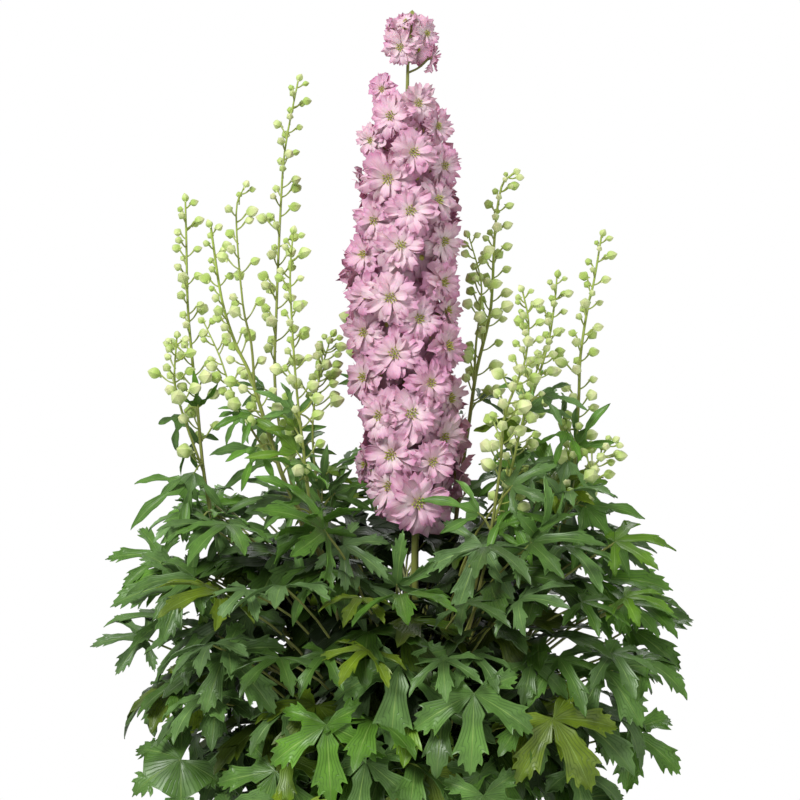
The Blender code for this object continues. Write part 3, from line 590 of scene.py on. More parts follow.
def addBlade(pile, hub, along, face, length, kind, droop, phase, tone, light, slot=0, columns=6):
    # Each lobe is a grid: rows up to the cut and then along its edge, columns across its midrib
    shape = leafKinds[kind]
    axes = np.array([along[:], face.cross(along)[:], face[:]])
    draw = random.Random(int(phase * 1000) + 17)
    angles = [math.radians(angle) for angle in shape["angles"]]
    half = (angles[1] - angles[0]) / 2
    cut = shape["cut"]
    fine = columns > 4
    inner = (0.0, 0.35, 0.7, 1.0) if fine else (0.0, 0.5, 1.0)
    edge = smoothEdge if kind == "narrow" else lobeEdge if fine else plainEdge
    for number, (angle, reach) in enumerate(zip(angles, shape["lengths"])):
        stretch = [1 + draw.uniform(-0.14, 0.14) for hand in range(2)]
        swing = draw.uniform(-0.06, 0.06)
        grid, uvs = [], []
        for row in (*inner, *edge):
            for s in np.linspace(-1, 1, columns + 1):
                if isinstance(row, float):
                    outermost = (number == 0 and s < 0) or (number == len(angles) - 1 and s > 0)
                    bisector = half * (0.8 if outermost else 1.0)
                    ring = cut * row * (0.7 if outermost else 1.0)
                    edgeX, edgeY = math.sin(bisector) * ring, math.cos(bisector) * ring
                    mid = cut * row * 0.97
                else:
                    edgeX = row[0] * reach * shape["wide"] * stretch[int(s >= 0)]
                    edgeY = max(row[1], cut / reach * 1.03) * reach
                    mid = max(row[2], cut / reach * 0.98) * reach
                x = (1 if s > 0 else -1) * abs(s) * edgeX
                y = mid + abs(s) ** 1.25 * (edgeY - mid)
                x += swing * max(0.0, y / reach - 0.35) ** 2 * reach
                grid.append((x, y))
                uvs.append((s * 0.5 + 0.5, mid / reach))
        x, y = np.array(grid).T
        ahead, across = y * math.cos(angle) - x * math.sin(angle), y * math.sin(angle) + x * math.cos(angle)
        way, far = np.arctan2(across, ahead), np.hypot(ahead, across)
        bend = np.maximum(droop * far, 1e-4)
        out, down = np.sin(bend) / bend * far, (1 - np.cos(bend)) / bend * far
        side = np.abs(np.array(uvs)[:, 0] * 2 - 1)
        wave = 0.05 * np.sin(3 * way + phase) * far
        lift = leafLook["keel"] * side * np.minimum(1, far * 2.5) * np.minimum(1.0, np.abs(x) / 0.1)
        ripple = np.sin(far * 21 + phase * 3 + number * 2)
        lift += leafLook["ripple"] * side ** 2 * ripple * np.minimum(1, far * 2)
        local = np.stack([np.cos(way) * out, np.sin(way) * out, wave - down + lift], 1) * length
        faces = gridFaces(len(inner) + len(edge), columns + 1)
        pile.add(np.array(hub[:]) + local @ axes, faces, uvs, tone, light, slot)


def addStalk(pile, spot, hub, along, face, tone, light, slot=0, sides=8, perSpan=4):
    points = stalkPoints(spot, hub, along)
    points[-1] = hub + along * 0.002 - face * 0.0004
    radii = [stalkRadius * (1.15 - 0.5 * index / (len(points) - 1)) for index in range(len(points))]
    addStem(pile, points, radii, sides, perSpan, tone, light, slot)


def leafPiece(name, blades, stalks, materials, replaces=()):
    blade = thickened(blades.mesh("blade", leafLook["weld"]), leafLook["thickness"])
    finished(name, [blade, stalks.mesh("stalk")], materials, replaces)


def makeLeaves(plan, materials):
    draw = random.Random(leafLook["seed"])
    for index, (spot, hub, along, face, size, kind, turn) in enumerate(plan["leaves"]):
        name = "leaf_%02d" % (index + 1)
        blades, stalks = Pile(), Pile()
        tone = draw.uniform(0.0, 0.8) if kind != "fine" else draw.uniform(0.3, 1.0)
        # painted light: leaves high on the mound get a light value a quarter higher; the rest of it is random
        light = draw.uniform(0.80, 1.25) * (1.25 if hub.z > 0.47 else 1.0)
        addBlade(blades, hub, along, face, size, kind, leafLook["droop"], turn, tone, light)
        addStalk(stalks, spot, hub, along, face, 0.4, 1.0, 1)
        leafPiece(name + "_blade", blades, stalks, materials, [name])
    print("leaves made:", len(plan["leaves"]))


# More leaves between the large ones, smaller, with painted shade that is darker the deeper they are

fillLook = {
    "outer": 160, "inner": 200, "groups": 4, "low": 0.235, "high": 0.590, "wide": 0.275, "deep": 0.150,
    "size": 0.078, "droop": 0.8, "shift": (-0.012, -0.006), "seed": 23}
# Nothing more grows inside these: left, right, from this height up and in front of this depth
openSpace = {"leaf": (-0.07, 0.06, 0.485, 0.005), "bud_stem": (-0.09, 0.085, 0.47, 0.02)}


def inOpenSpace(place, kind):
    left, right, height, depth = openSpace[kind]
    return left < place.x < right and place.z > height and place.y < depth


def makeFill(materials):
    draw = random.Random(fillLook["seed"])
    groups = [(Pile(), Pile()) for group in range(fillLook["groups"])]
    count = fillLook["outer"] + fillLook["inner"]
    for index in range(count):
        share = (index * 37 % count) / (count - 1)
        inside = index >= fillLook["outer"]
        depth = draw.uniform(0.12, 0.68) if inside else draw.uniform(0.76, 1.0)
        angle = index * golden
        # the mound is widest a little above its middle
        reach = math.sin(math.pi * (0.13 + 0.65 * share)) ** 0.7 * depth
        height = fillLook["low"] + (fillLook["high"] - 0.03 * inside - fillLook["low"]) * share
        hub = Vector((math.cos(angle) * fillLook["wide"] * reach + fillLook["shift"][0],
                      math.sin(angle) * fillLook["deep"] * reach + fillLook["shift"][1], height))
        if inOpenSpace(hub, "leaf"):
            continue    # the space in front of the flower head's foot
        out = Vector((math.cos(angle), math.sin(angle) * 0.8, 0)).normalized()
        rise = -0.95 + 1.35 * share + draw.uniform(-0.4, 0.4)
        along = (out + Vector((draw.uniform(-0.6, 0.6), draw.uniform(-0.6, 0.4), rise))).normalized()
        face = frameFor(along, out * 0.4 + Vector((draw.uniform(-0.3, 0.3), -0.35, 0.8)))[0]
        size = fillLook["size"] * (1.12 if inside else draw.uniform(0.70, 1.08))
        kind = "fine" if share > 0.50 and not inside else "broad"
        # painted shade: inside the mound the light value falls with depth, outside it is random; painted
        # light: it rises towards the top of the mound
        light = 0.07 + 0.50 * depth if inside else draw.uniform(0.55, 1.2)
        light *= 1 + 0.45 * smooth(max(0.0, min(1.0, (height - 0.44) / 0.13)))
        blades, stalks = groups[index % fillLook["groups"]]
        addBlade(blades, hub, along, face, size, kind, fillLook["droop"], index * 1.3, draw.random() ** 1.4,
                 light, 0, 2 if inside else 4)
        foot = Vector((hub.x * 0.16, hub.y * 0.2, 0))
        # the stalks' light value of 0.45 stands for painted shade, though the stem finish does not read it
        addStalk(stalks, foot, hub, along, face, 0.3, 0.45, 1, 5 if inside else 6, 2)
    for number, (blades, stalks) in enumerate(groups):
        leafPiece("leaf_fill_%d" % (number + 1), blades, stalks, materials)
    print("fill leaves made:", count)


# Copies of small shapes on points, by geometry nodes

def copiesTree():
    tree = bpy.data.node_groups.new("copiesOnPoints", "GeometryNodeTree")
    for title, way, kind in (
            ("Points", "INPUT", "Geometry"), ("Shapes", "INPUT", "Collection"),
            ("Finish", "INPUT", "Material"), ("Size", "INPUT", "Float"), ("Result", "OUTPUT", "Geometry")):
        tree.interface.new_socket(title, in_out=way, socket_type="NodeSocket" + kind)
    node = {title: tree.nodes.new(kind) for title, kind in (
        ("start", "NodeGroupInput"), ("end", "NodeGroupOutput"), ("shapes", "GeometryNodeCollectionInfo"),
        ("place", "GeometryNodeInstanceOnPoints"), ("turn", "GeometryNodeInputNamedAttribute"),
        ("size", "GeometryNodeInputNamedAttribute"), ("pick", "GeometryNodeInputNamedAttribute"),
        ("euler", "FunctionNodeEulerToRotation"), ("scale", "ShaderNodeMath"),
        ("real", "GeometryNodeRealizeInstances"), ("paint", "GeometryNodeSetMaterial"))}
    for title, kind in (("turn", "FLOAT_VECTOR"), ("size", "FLOAT"), ("pick", "INT")):
        node[title].data_type = kind
        node[title].inputs["Name"].default_value = title
    for title in ("Separate Children", "Reset Children"):
        node["shapes"].inputs[title].default_value = True
    node["place"].inputs["Pick Instance"].default_value = True
    node["scale"].operation = "MULTIPLY"
    for source, output, target, socket in (
            ("start", "Points", "place", "Points"), ("start", "Shapes", "shapes", "Collection"),
            ("shapes", "Instances", "place", "Instance"), ("pick", "Attribute", "place", "Instance Index"),
            ("turn", "Attribute", "euler", "Euler"), ("euler", "Rotation", "place", "Rotation"),
            ("size", "Attribute", "scale", 0), ("start", "Size", "scale", 1),
            ("scale", "Value", "place", "Scale"), ("place", "Instances", "real", "Geometry"),
            ("real", "Geometry", "paint", "Geometry"),
            ("start", "Finish", "paint", "Material"), ("paint", "Geometry", "end", "Result")):
        tree.links.new(node[source].outputs[output], node[target].inputs[socket])
    return tree


def copies(spots, shapes, material):
    # spots holds (place, rotation matrix, size, pick, tone, light)
    places, turns, *columns = zip(*spots)
    mesh = bpy.data.meshes.new("copies")
    mesh.from_pydata([place[:] for place in places], [], [])
    attribute = mesh.attributes.new("turn", "FLOAT_VECTOR", "POINT")
    attribute.data.foreach_set("vector", [angle for turn in turns for angle in turn.to_euler("XYZ")])
    for title, values in zip(("size", "pick", "tone", "light"), columns):
        attribute = mesh.attributes.new(title, "INT" if title == "pick" else "FLOAT", "POINT")
        attribute.data.foreach_set("value", values)
    thing = newObject("copies", mesh)
    modifier = thing.modifiers.new("copies", "NODES")
    modifier.node_group = copyTree
    for title, value in (("Shapes", shapes), ("Finish", material), ("Size", 1.0)):
        modifier[copySockets[title]] = value
    made = evaluated(thing)
    for title in ("turn", "size", "pick"):
        if title in made.attributes:
            made.attributes.remove(made.attributes[title])
    made.materials.clear()
    return made


def shapeCollection(name, meshes):
    group = bpy.data.collections.new(name)
    for index, mesh in enumerate(meshes):
        group.objects.link(bpy.data.objects.new("%s_%02d" % (name, index), mesh))
    return group


def aimed(direction, spin):
    # The rotation that turns a shape's own top to the direction, spun about it
    return Matrix((*frameFor(direction, upward), direction)).transposed() @ Matrix.Rotation(spin, 3, "Z")


copyTree = copiesTree()
copySockets = {item.name: item.identifier for item in copyTree.interface.items_tree
               if item.in_out == "INPUT"}


# Florets: broad toothed outer petals, two narrower layers in front and a green eye

floretLook = {
    "variants": 7, "seed": 41, "thickness": 0.011, "stamens": 16, "swell": 1.10,
    "inner": 66, "innerSize": 0.0255, "innerFront": 0.031, "innerBack": 0.040,
    "topmost": [(-4, -6, 1077, 12, -0.5), (9, -3, 1079, 10, 0.6), (2, 5, 1081, 9, 0.1)],
    # count, length, half width, lift, curl, first turn, steps across, steps along
    "layers": [
        (6, 1.02, 0.37, 0.16, 0.16, 0.0, 6, 7), (8, 0.92, 0.225, 0.34, 0.22, 0.4, 5, 7),
        (6, 0.64, 0.17, 0.62, 0.30, 0.2, 4, 5)],
    "innerLayers": [(6, 1.02, 0.38, 0.20, 0.18, 0.0, 4, 4), (7, 0.80, 0.25, 0.42, 0.26, 0.4, 3, 4)]}


# The u of an eye's and a spur's uv, past that of every petal
eyeMark, spurMark = 3.0, 5.0


def addPetal(pile, angle, size, bend, wide, tall, draw, layer):
    # A narrow foot that widens to a frilled and notched tip, its edges folded
    length, half = size
    lift, curl = bend
    s = np.tile(np.linspace(-1, 1, wide + 1), tall + 1)
    v = np.repeat(np.linspace(0, 1, tall + 1), wide + 1)
    width = half * (0.20 + 0.80 * np.sin(np.pi * np.clip(0.02 + 0.56 * v, 0, 1)) ** 1.2)
    phase, fold = draw.uniform(0, 6), draw.uniform(-0.35, 0.5)
    frill = 0.085 * np.cos(math.pi * s * draw.choice((2.0, 2.6, 3.2)) + phase) - 0.12 * s ** 2
    y = length * (0.05 + v * 0.95 + frill * v ** 3)
    x = width * s * (1 - 0.25 * abs(fold) * v)
    z = lift * length * v ** 1.2 - curl * length * v ** 3.5
    z += (0.12 * np.sin(s * 3.2 + phase) * v ** 2 + 0.075 * np.sin(s * 7.1 + phase * 2.1) * v ** 3) * length
    z += half * s ** 2 * fold * v + layer * 0.05 + 0.02
    twist = draw.uniform(-0.55, 0.55) * v * 0.6
    x, z = x * np.cos(twist), z + x * np.sin(twist)
    turn = angle + draw.uniform(-0.12, 0.12) * v ** 2
    points = np.stack([y * np.cos(turn) - x * np.sin(turn), y * np.sin(turn) + x * np.cos(turn), z], 1)
    uvs = np.stack([s * 0.5 + 0.5, v], 1)
    pile.add(points, gridFaces(tall + 1, wide + 1), uvs, 0.5, draw.uniform(0.0, 1.0))


def addKnob(pile, centre, along, radius, length, sides, rows, mark, ridges=0.0):
    # A small closed pod; mark is put in its uv so that its finish can tell it from a petal
    up, side = frameFor(along, Vector((0.1, 0.2, 1)))
    points, uvs = [], []
    for row in range(1, rows):
        t = row / rows
        reach = radius * math.sin(math.pi * t) ** 0.8 * (1.12 - 0.35 * t)
        for step in range(sides):
            turn = math.tau * step / sides
            size = reach * (1 + ridges * math.cos(5 * turn))
            points.append(centre + along * length * (t - 0.5)
                          + (up * math.cos(turn) + side * math.sin(turn)) * size)
            uvs.append((mark, t))
    points += [centre - along * length * 0.5, centre + along * length * 0.5]
    uvs += [(mark, 0.0), (mark, 1.0)]
    faces = gridFaces(rows - 1, sides, True)
    first, last = len(points) - 2, len(points) - 1
    top = (rows - 2) * sides
    for step in range(sides):
        after = (step + 1) % sides
        faces += [(first, after, step), (last, top + step, top + after)]
    pile.add([point[:] for point in points], faces, uvs, 0.5, 1.0)


def floretShapes(name, layers, stamens):
    meshes = []
    for variant in range(floretLook["variants"]):
        draw = random.Random(floretLook["seed"] + variant)
        petals, eye = Pile(), Pile()
        for layer, (count, length, half, lift, curl, first, wide, tall) in enumerate(layers):
            for index in range(count):
                angle = math.tau * (index + 0.5) / count + first * layer + draw.uniform(-0.16, 0.16)
                size = (length * draw.uniform(0.84, 1.06), half * draw.uniform(0.85, 1.15))
                bend = (lift * draw.uniform(0.5, 1.5), curl * draw.uniform(0.4, 1.6))
                addPetal(petals, angle, size, bend, wide, tall, draw, layer)
        for index in range(stamens):
            reach = 0.20 * math.sqrt((index + 0.4) / stamens)
            x, y = math.cos(index * 2.4) * reach, math.sin(index * 2.4) * reach
            centre = Vector((x, y, 0.20 + draw.uniform(-0.02, 0.04)))
            addKnob(eye, centre, Vector((x * 2.4, y * 2.4, 1)).normalized(), 0.032, 0.20, 5, 4, eyeMark)
        addKnob(eye, upward * 0.06, upward, 0.20, 0.17, 9, 5, eyeMark)
        addKnob(eye, upward * -0.14, Vector((0.5, 0, -1)).normalized(), 0.085, 0.42, 7, 6, spurMark)
        made = joined([thickened(petals.mesh("petals"), floretLook["thickness"]), eye.mesh("eye")],
                      "floret_%02d" % variant)
        made.attributes["light"].name = "tint"
        made.attributes.remove(made.attributes["tone"])
        meshes.append(made)
    return shapeCollection(name, meshes)


def floretSpots(florets, draw):
    spots = []
    for index, (centre, facing, roll, size) in enumerate(florets):
        tone = min(1.0, max(0.0, draw.gauss(0.45, 0.22)))
        spots.append((centre, aimed(facing, roll), size * floretLook["swell"], index % floretLook["variants"],
                      tone, draw.uniform(0.93, 1.07)))
    return spots


def innerFlorets(count, draw):
    # Crowded florets between the core and the outer ones, deeper in colour
    low, high = headSpan[0] + 0.012, headSpan[1] - 0.030
    spots = []
    for index in range(count):
        height = low + (high - low) * (index + 0.5) / count
        narrow = min(1.0, 0.55 + (headSpan[1] - height) * 4)
        angle = index * 2.4 + 0.5
        reach = floretLook["innerBack" if math.cos(angle) < -0.1 else "innerFront"]
        out = headed(angle)
        sway = Vector((draw.uniform(-0.4, 0.4), draw.uniform(-0.4, 0.4), draw.uniform(-0.5, 0.3)))
        turn = aimed((out + sway).normalized(), draw.uniform(0, 6))
        size = floretLook["innerSize"] * narrow * draw.uniform(0.9, 1.1)
        spots.append((axisAt(height) + out * reach * narrow, turn, size, index % floretLook["variants"],
                      draw.uniform(0.55, 1.0), 0.85))
    return spots


def makeFlowers(plan, petalPaint, stemPaint):
    shapes = floretShapes("floretShapes", floretLook["layers"], floretLook["stamens"])
    plainShapes = floretShapes("innerShapes", floretLook["innerLayers"], 0)
    draw = random.Random(9)
    head = sorted(floretSpots(plan["head"], draw), key=lambda spot: -spot[0].z)
    middle = len(head) // 2
    inner = innerFlorets(floretLook["inner"], draw)
    tip = floretSpots(plan["tip"], draw)
    for x, y, z, size, lean in floretLook["topmost"]:
        facing = Vector((lean, -0.6, 0.7)).normalized()
        tip.append((mm(x, y, z), aimed(facing, 0), size * milli, 3, 0.05, 1.1))
    for name, spots, kinds, replaced in (
            ("flower_head_upper", head[:middle], shapes, ["flower_head"]),
            ("flower_head_lower", head[middle:], shapes, []), ("flower_head_inner", inner, plainShapes, []),
            ("flower_tip_florets", tip, shapes, ["flower_tip"])):
        finished(name, [copies(spots, kinds, petalPaint)], [petalPaint], replaced, 60)
    green = Pile()
    points, radii = plan["flower"]
    addStem(green, points, radii, 12, 4, 0.35, 1.0, 0, 0.04)
    for centre, facing, roll, size in plan["head"] + plan["tip"]:
        root = axisAt(min(max(centre.z - 0.016, 0.53), 1.07))
        bend = root.lerp(centre, 0.5) - upward * 0.002
        addStem(green, [root, bend, centre - facing * size * 0.12], [0.0013, 0.0011, 0.0014], 6, 4, 0.3)
    addKnob(green, points[-1] + upward * 0.001, Vector((0.1, 0, 1)).normalized(), 0.0050, 0.0135, 12, 9,
            0.0, 0.08)
    finished("flower_stem_green", [green.mesh("stem")], [stemPaint], ["flower_stem"])
    print("florets made:", len(plan["head"]) + len(plan["tip"]))


# Bud stems: round ribbed stems with stalked buds and narrow leaves

budLook = {"variants": 5, "seed": 77, "extra": 3.4, "swell": 1.12, "leaves": 10, "droop": 0.9, "sides": 10,
           "rows": 7, "leafSpan": (0.47, 0.21), "leafLength": (0.040, 0.070),
           "leafStalk": (0.0014, 0.0011, 0.0009), "thinStalk": (0.0012, 0.0010, 0.0008)}


def budShapes():
    meshes = []
    for variant in range(budLook["variants"]):
        draw = random.Random(budLook["seed"] + variant)
        pile = Pile()
        lean = Vector((draw.uniform(-0.1, 0.1), draw.uniform(-0.1, 0.1), 1)).normalized()
        length = 2.3 + draw.uniform(-0.1, 0.3)
        addKnob(pile, upward, lean, 0.98, length, budLook["sides"], budLook["rows"], 1.0, 0.09)
        addKnob(pile, Vector((0.30, 0, 0.1)), Vector((0.8, 0, -0.6)).normalized(), 0.30, 1.2, 6, 5, 1.2)
        made = pile.mesh("bud_%02d" % variant)
        for title in ("tone", "light"):
            made.attributes.remove(made.attributes[title])
        meshes.append(made)
    return shapeCollection("budShapes", meshes)


def moreLeaves(line, draw):
    # Small narrow leaves up the stem, below its buds
    leaves = []
    for index in range(budLook["leaves"]):
        low, more = budLook["leafSpan"]
        height = low + more * (index + draw.uniform(0.2, 0.8)) / budLook["leaves"]
        length = draw.uniform(*budLook["leafLength"])
        leaf = stemLeaf(line, height, length, draw.uniform(0, 360), draw.uniform(-60, 60), draw)
        if not inOpenSpace(leaf[1] + leaf[2] * length, "bud_stem"):
            leaves.append(leaf)
    return leaves


def addNarrowLeaf(green, blades, leaf, radii, tone, light, columns):
    place, hub, along, face, length, turn = leaf
    bend = place.lerp(hub, 0.5) + upward * 0.002
    addStem(green, [place, bend, hub + along * 0.003], radii, 6, 3)
    addBlade(blades, hub, along, face, length, "narrow", budLook["droop"], turn, tone, light, 2, columns)


def makeBudStems(plan, shapes, stemPaint, budPaint, leafPaint):
    for name, stem in plan["stems"].items():
        draw = random.Random(sum(map(ord, name)) + 5)
        green, blades = Pile(), Pile()
        addStem(green, stem["line"], stem["radii"], 10, 4, (-0.3, 1.1), 1.0, 0, 0.05)
        for points, radii in stem["branches"]:
            addStem(green, points, radii, 8, 4, (0.3, 1.0))
        buds, spots = list(stem["buds"]), []
        for points, count in stem["runs"]:
            buds += budRow(points, round(count * budLook["extra"]), draw, budRows["extra"])
        for start, end, radius in buds:
            bend = start.lerp(end, 0.5) - upward * ((end - start).length * 0.10)
            addStem(green, [start, bend, end], [0.0010, 0.0008, 0.0011], 5, 3, 0.7, 1.05)
            side = (end - start).normalized()
            turn = aimed(Vector((side.x, side.y, side.z * 0.35)).normalized(), draw.uniform(0, 6))
            spots.append((end, turn, radius * budLook["swell"], draw.randrange(budLook["variants"]),
                          draw.uniform(0, 1), draw.uniform(0.9, 1.1)))
        # painted light: the narrow leaves high on the stems get light values above one, which brighten them
        for leaf in stem["leaves"]:
            addNarrowLeaf(green, blades, leaf, budLook["leafStalk"], draw.uniform(0.3, 1.0), 1.25, 6)
        for leaf in moreLeaves(stem["line"], draw):
            addNarrowLeaf(green, blades, leaf, budLook["thinStalk"], draw.uniform(0.0, 1.0),
                          draw.uniform(0.9, 1.5), 4)
        meshes = [green.mesh("green"), inSlot(copies(spots, shapes, budPaint), 1),
                  thickened(blades.mesh("blades", leafLook["weld"]), leafLook["thickness"], 2)]
        finished("bud_stem_" + name + "_green", meshes, [stemPaint, budPaint, leafPaint],
                 ["bud_stem_" + name])
    print("bud stems made:", len(plan["stems"]))


# Pot and soil

potLook = {"steps": 96, "bands": 12, "groove": 0.0005, "drainSides": 24, "drainDepth": 0.02}


def makePot(paint):
    rim, below = potRimRadius, potHeight - potRimHeight
    top, foot = potTopRadius - lipStep, potBaseRadius + footStep
    widening = potBaseRadius + footStep - potTopRadius + lipStep
    profile = [(rim - potWall * 1.4, potHeight - 0.0006), (rim - potWall * 0.7, potHeight),
               (rim - 0.0004, potHeight - 0.0008), (rim, potHeight - 0.002), (rim, below + 0.001),
               (rim - 0.0008, below), (top, below - 0.002)]
    for step in range(1, potLook["bands"]):
        t = step / potLook["bands"]
        groove = potLook["groove"] if step % 4 == 0 else 0
        profile.append((top + widening * t - groove, (below - 0.002) * (1 - t) + 0.004 * t))
    profile += [(foot, 0.004), (potBaseRadius + 0.0012, 0.001), (potBaseRadius, 0.0),
                (0.0, 0.0), (0.0, potWall), (potBaseRadius - potWall, potWall),
                (potTopRadius - potWall - lipStep, below), (rim - potWall * 1.4, below + potWall)]
    shell = bmesh.new()
    corners = [shell.verts.new((radius, 0, height)) for radius, height in profile]
    edges = [shell.edges.new(pair) for pair in zip(corners, corners[1:] + corners[:1])]
    bmesh.ops.spin(shell, geom=corners + edges, cent=(0, 0, 0), axis=(0, 0, 1), angle=math.tau,
                   steps=potLook["steps"], use_duplicate=False)
    bmesh.ops.remove_doubles(shell, verts=shell.verts, dist=0.00001)
    bmesh.ops.recalc_face_normals(shell, faces=shell.faces)
    pot = newObject("potShape", meshFrom(shell, "potBody"))
    drains = bmesh.new()
    for index in range(drainCount):
        angle = math.tau * index / drainCount
        place = Matrix.Translation((math.cos(angle) * drainRing, math.sin(angle) * drainRing, 0))
        bmesh.ops.create_cone(drains, cap_ends=True, segments=potLook["drainSides"], radius1=drainRadius,
                              radius2=drainRadius, depth=potLook["drainDepth"], matrix=place)
    cutter = newObject("drainCutter", meshFrom(drains, "drainHoles"))
    cut = pot.modifiers.new("holes", "BOOLEAN")
    cut.operation = "DIFFERENCE"
    cut.object = cutter
    cut.solver = "EXACT"
    made = evaluated(pot)
    bpy.data.objects.remove(cutter)
    finished("pot_shell", [made], [paint], ["pot"], 30)
    print("pot made")


soilLook = {"crumbs": 900, "shapes": 4, "seed": 8, "least": 0.0006, "low": 0.0016, "high": 0.0052,
            "edge": 0.092, "flat": 0.072, "slope": 0.5}


def crumbShapes():
    meshes = []
    for variant in range(soilLook["shapes"]):
        shell = bmesh.new()
        bmesh.ops.create_icosphere(shell, subdivisions=1, radius=1.0)
        draw = random.Random(variant)
        for vert in shell.verts:
            vert.co *= draw.uniform(0.65, 1.2)
            vert.co.z *= 0.7
        meshes.append(meshFrom(shell, "crumb_%d" % variant))
    return shapeCollection("crumbShapes", meshes)


def makeSoil(paint):
    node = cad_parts["soil"]
    node.data.materials.clear()
    node.data.materials.append(paint)
    draw = random.Random(soilLook["seed"])
    spots = []
    while len(spots) < soilLook["crumbs"]:
        reach = math.sqrt(draw.random()) * soilLook["edge"]
        angle = draw.uniform(0, math.tau)
        height = soilTop - max(0, reach - soilLook["flat"]) * soilLook["slope"]
        size = draw.uniform(soilLook["low"], soilLook["high"]) * draw.random() ** 0.5 + soilLook["least"]
        turn = Matrix.Rotation(draw.uniform(0, 6), 3, "Z") @ Matrix.Rotation(draw.uniform(-0.5, 0.5), 3, "X")
        place = Vector((math.cos(angle) * reach, math.sin(angle) * reach, height + size * 0.25))
        spots.append((place, turn, size, draw.randrange(soilLook["shapes"]), draw.random(), 1.0))
    finished("soil_crumbs", [copies(spots, crumbShapes(), paint)], [paint], (), 30)
    print("soil made")


# Finishes

def feed(tree, socket, value):
    # A socket is linked; a number or colour is set on the node's own socket
    if isinstance(value, bpy.types.NodeSocket):
        tree.links.new(value, socket)
    else:
        socket.default_value = (*value, 1.0) if isinstance(value, tuple) else value


def shader(name, values):
    material = bpy.data.materials.new(name)
    material.use_nodes = True
    tree = material.node_tree
    tree.nodes.clear()
    body = tree.nodes.new("ShaderNodeBsdfPrincipled")
    end = tree.nodes.new("ShaderNodeOutputMaterial")
    tree.links.new(body.outputs["BSDF"], end.inputs["Surface"])
    for title, value in values.items():
        feed(tree, body.inputs[title], value)
    return material, tree, body


def calc(tree, operation, *values):
    # A maths node; values are numbers or sockets
    node = tree.nodes.new("ShaderNodeMath")
    node.operation = operation
    for socket, value in zip(node.inputs, values):
        feed(tree, socket, value)
    return node.outputs[0]


def times(tree, first, second):
    return calc(tree, "MULTIPLY", first, second)


def plus(tree, first, *others):
    for other in others:
        first = calc(tree, "ADD", first, other)
    return first


def remap(tree, *values):
    # The value, the range that it comes from and the range that it goes to, 0 to 1 where not given
    node = tree.nodes.new("ShaderNodeMapRange")
    for socket, value in zip(node.inputs, values):
        feed(tree, socket, value)
    return node.outputs[0]


def mixed(tree, share, first, second, blend="MIX"):
    node = tree.nodes.new("ShaderNodeMix")
    node.data_type = "RGBA"
    node.blend_type = blend
    for number, value in ((0, share), (6, first), (7, second)):
        feed(tree, node.inputs[number], value)
    return node.outputs[2]


def reading(tree, title):
    node = tree.nodes.new("ShaderNodeAttribute")
    node.attribute_name = title
    return node.outputs["Fac"]


def surface(tree):
    # The two uv values as separate sockets
    node = tree.nodes.new("ShaderNodeUVMap")
    node.uv_map = "surface"
    split = tree.nodes.new("ShaderNodeSeparateXYZ")
    tree.links.new(node.outputs[0], split.inputs[0])
    return split.outputs[0], split.outputs[1]


def offMiddle(tree, u):
    return calc(tree, "ABSOLUTE", calc(tree, "SUBTRACT", u, 0.5))


def noise(tree, scale, detail=3.0):
    place = tree.nodes.new("ShaderNodeTexCoord")
    node = tree.nodes.new("ShaderNodeTexNoise")
    for title, value in (("Vector", place.outputs["Object"]), ("Scale", scale), ("Detail", detail),
                         ("Roughness", 0.55)):
        feed(tree, node.inputs[title], value)
    return node.outputs["Fac"]


def bump(tree, body, height, strength, distance):
    node = tree.nodes.new("ShaderNodeBump")
    for title, value in (("Height", height), ("Strength", strength), ("Distance", distance)):
        feed(tree, node.inputs[title], value)
    tree.links.new(node.outputs["Normal"], body.inputs["Normal"])


# The two darkest leaf colours are painted shade: one for random shadow patches, one for the grooves; the rest
# are the leaves' own greens
leafColours = {
    "olive": (0.230, 0.310, 0.016), "bright": (0.112, 0.285, 0.011), "blueGreen": (0.140, 0.245, 0.085),
    "paintedShadow": (0.013, 0.038, 0.004), "vein": (0.300, 0.450, 0.110), "groove": (0.025, 0.075, 0.008)}
leafShine = {"Roughness": 0.38, "Specular IOR Level": 0.42}


def leafFinish():
    material, tree, body = shader("leafGreen", leafShine)
    u, v = surface(tree)
    side, tone = offMiddle(tree, u), reading(tree, "tone")
    base = mixed(tree, tone, leafColours["bright"], leafColours["blueGreen"])
    base = mixed(tree, remap(tree, tone, 0.02, 0.14, 0.75, 0.0), base, leafColours["olive"])
    # painted shade: noise lays random patches of a near-black shadow colour over the leaves
    base = mixed(tree, remap(tree, noise(tree, 38.0), 0.35, 0.75, 0.0, 0.60), base, leafColours["paintedShadow"])
    middle = remap(tree, side, 0.008, 0.030, 0.55, 0.0)
    # grooves run along the lobe, fanning out towards its teeth; they are bumped, and their dark colour is
    # painted shade
    ribs = calc(tree, "SINE", calc(tree, "SUBTRACT", times(tree, side, 46.0), times(tree, v, 7.0)))
    ribs = times(tree, remap(tree, ribs, 0.55, 1.0, 0.0, 0.50), remap(tree, v, 0.5, 1.0, 1.0, 0.2))
    colour = mixed(tree, ribs, base, leafColours["groove"])
    colour = mixed(tree, middle, colour, leafColours["vein"])
    # painted shade and painted light: the colour is multiplied by the light value, which darkens leaves deep
    # in the mound and brightens high ones, and by a factor that darkens it towards each lobe's hub
    paintedShade = times(tree, reading(tree, "light"), remap(tree, v, 0.0, 0.5, 0.72, 1.0))
    paintedShadeColour = tree.nodes.new("ShaderNodeCombineColor")
    for socket in paintedShadeColour.inputs:
        tree.links.new(paintedShade, socket)
    colour = mixed(tree, 1.0, colour, paintedShadeColour.outputs[0], "MULTIPLY")
    tree.links.new(colour, body.inputs["Base Color"])
    bump(tree, body, times(tree, plus(tree, middle, ribs), -1.0), 0.6, 0.0010)
    return material


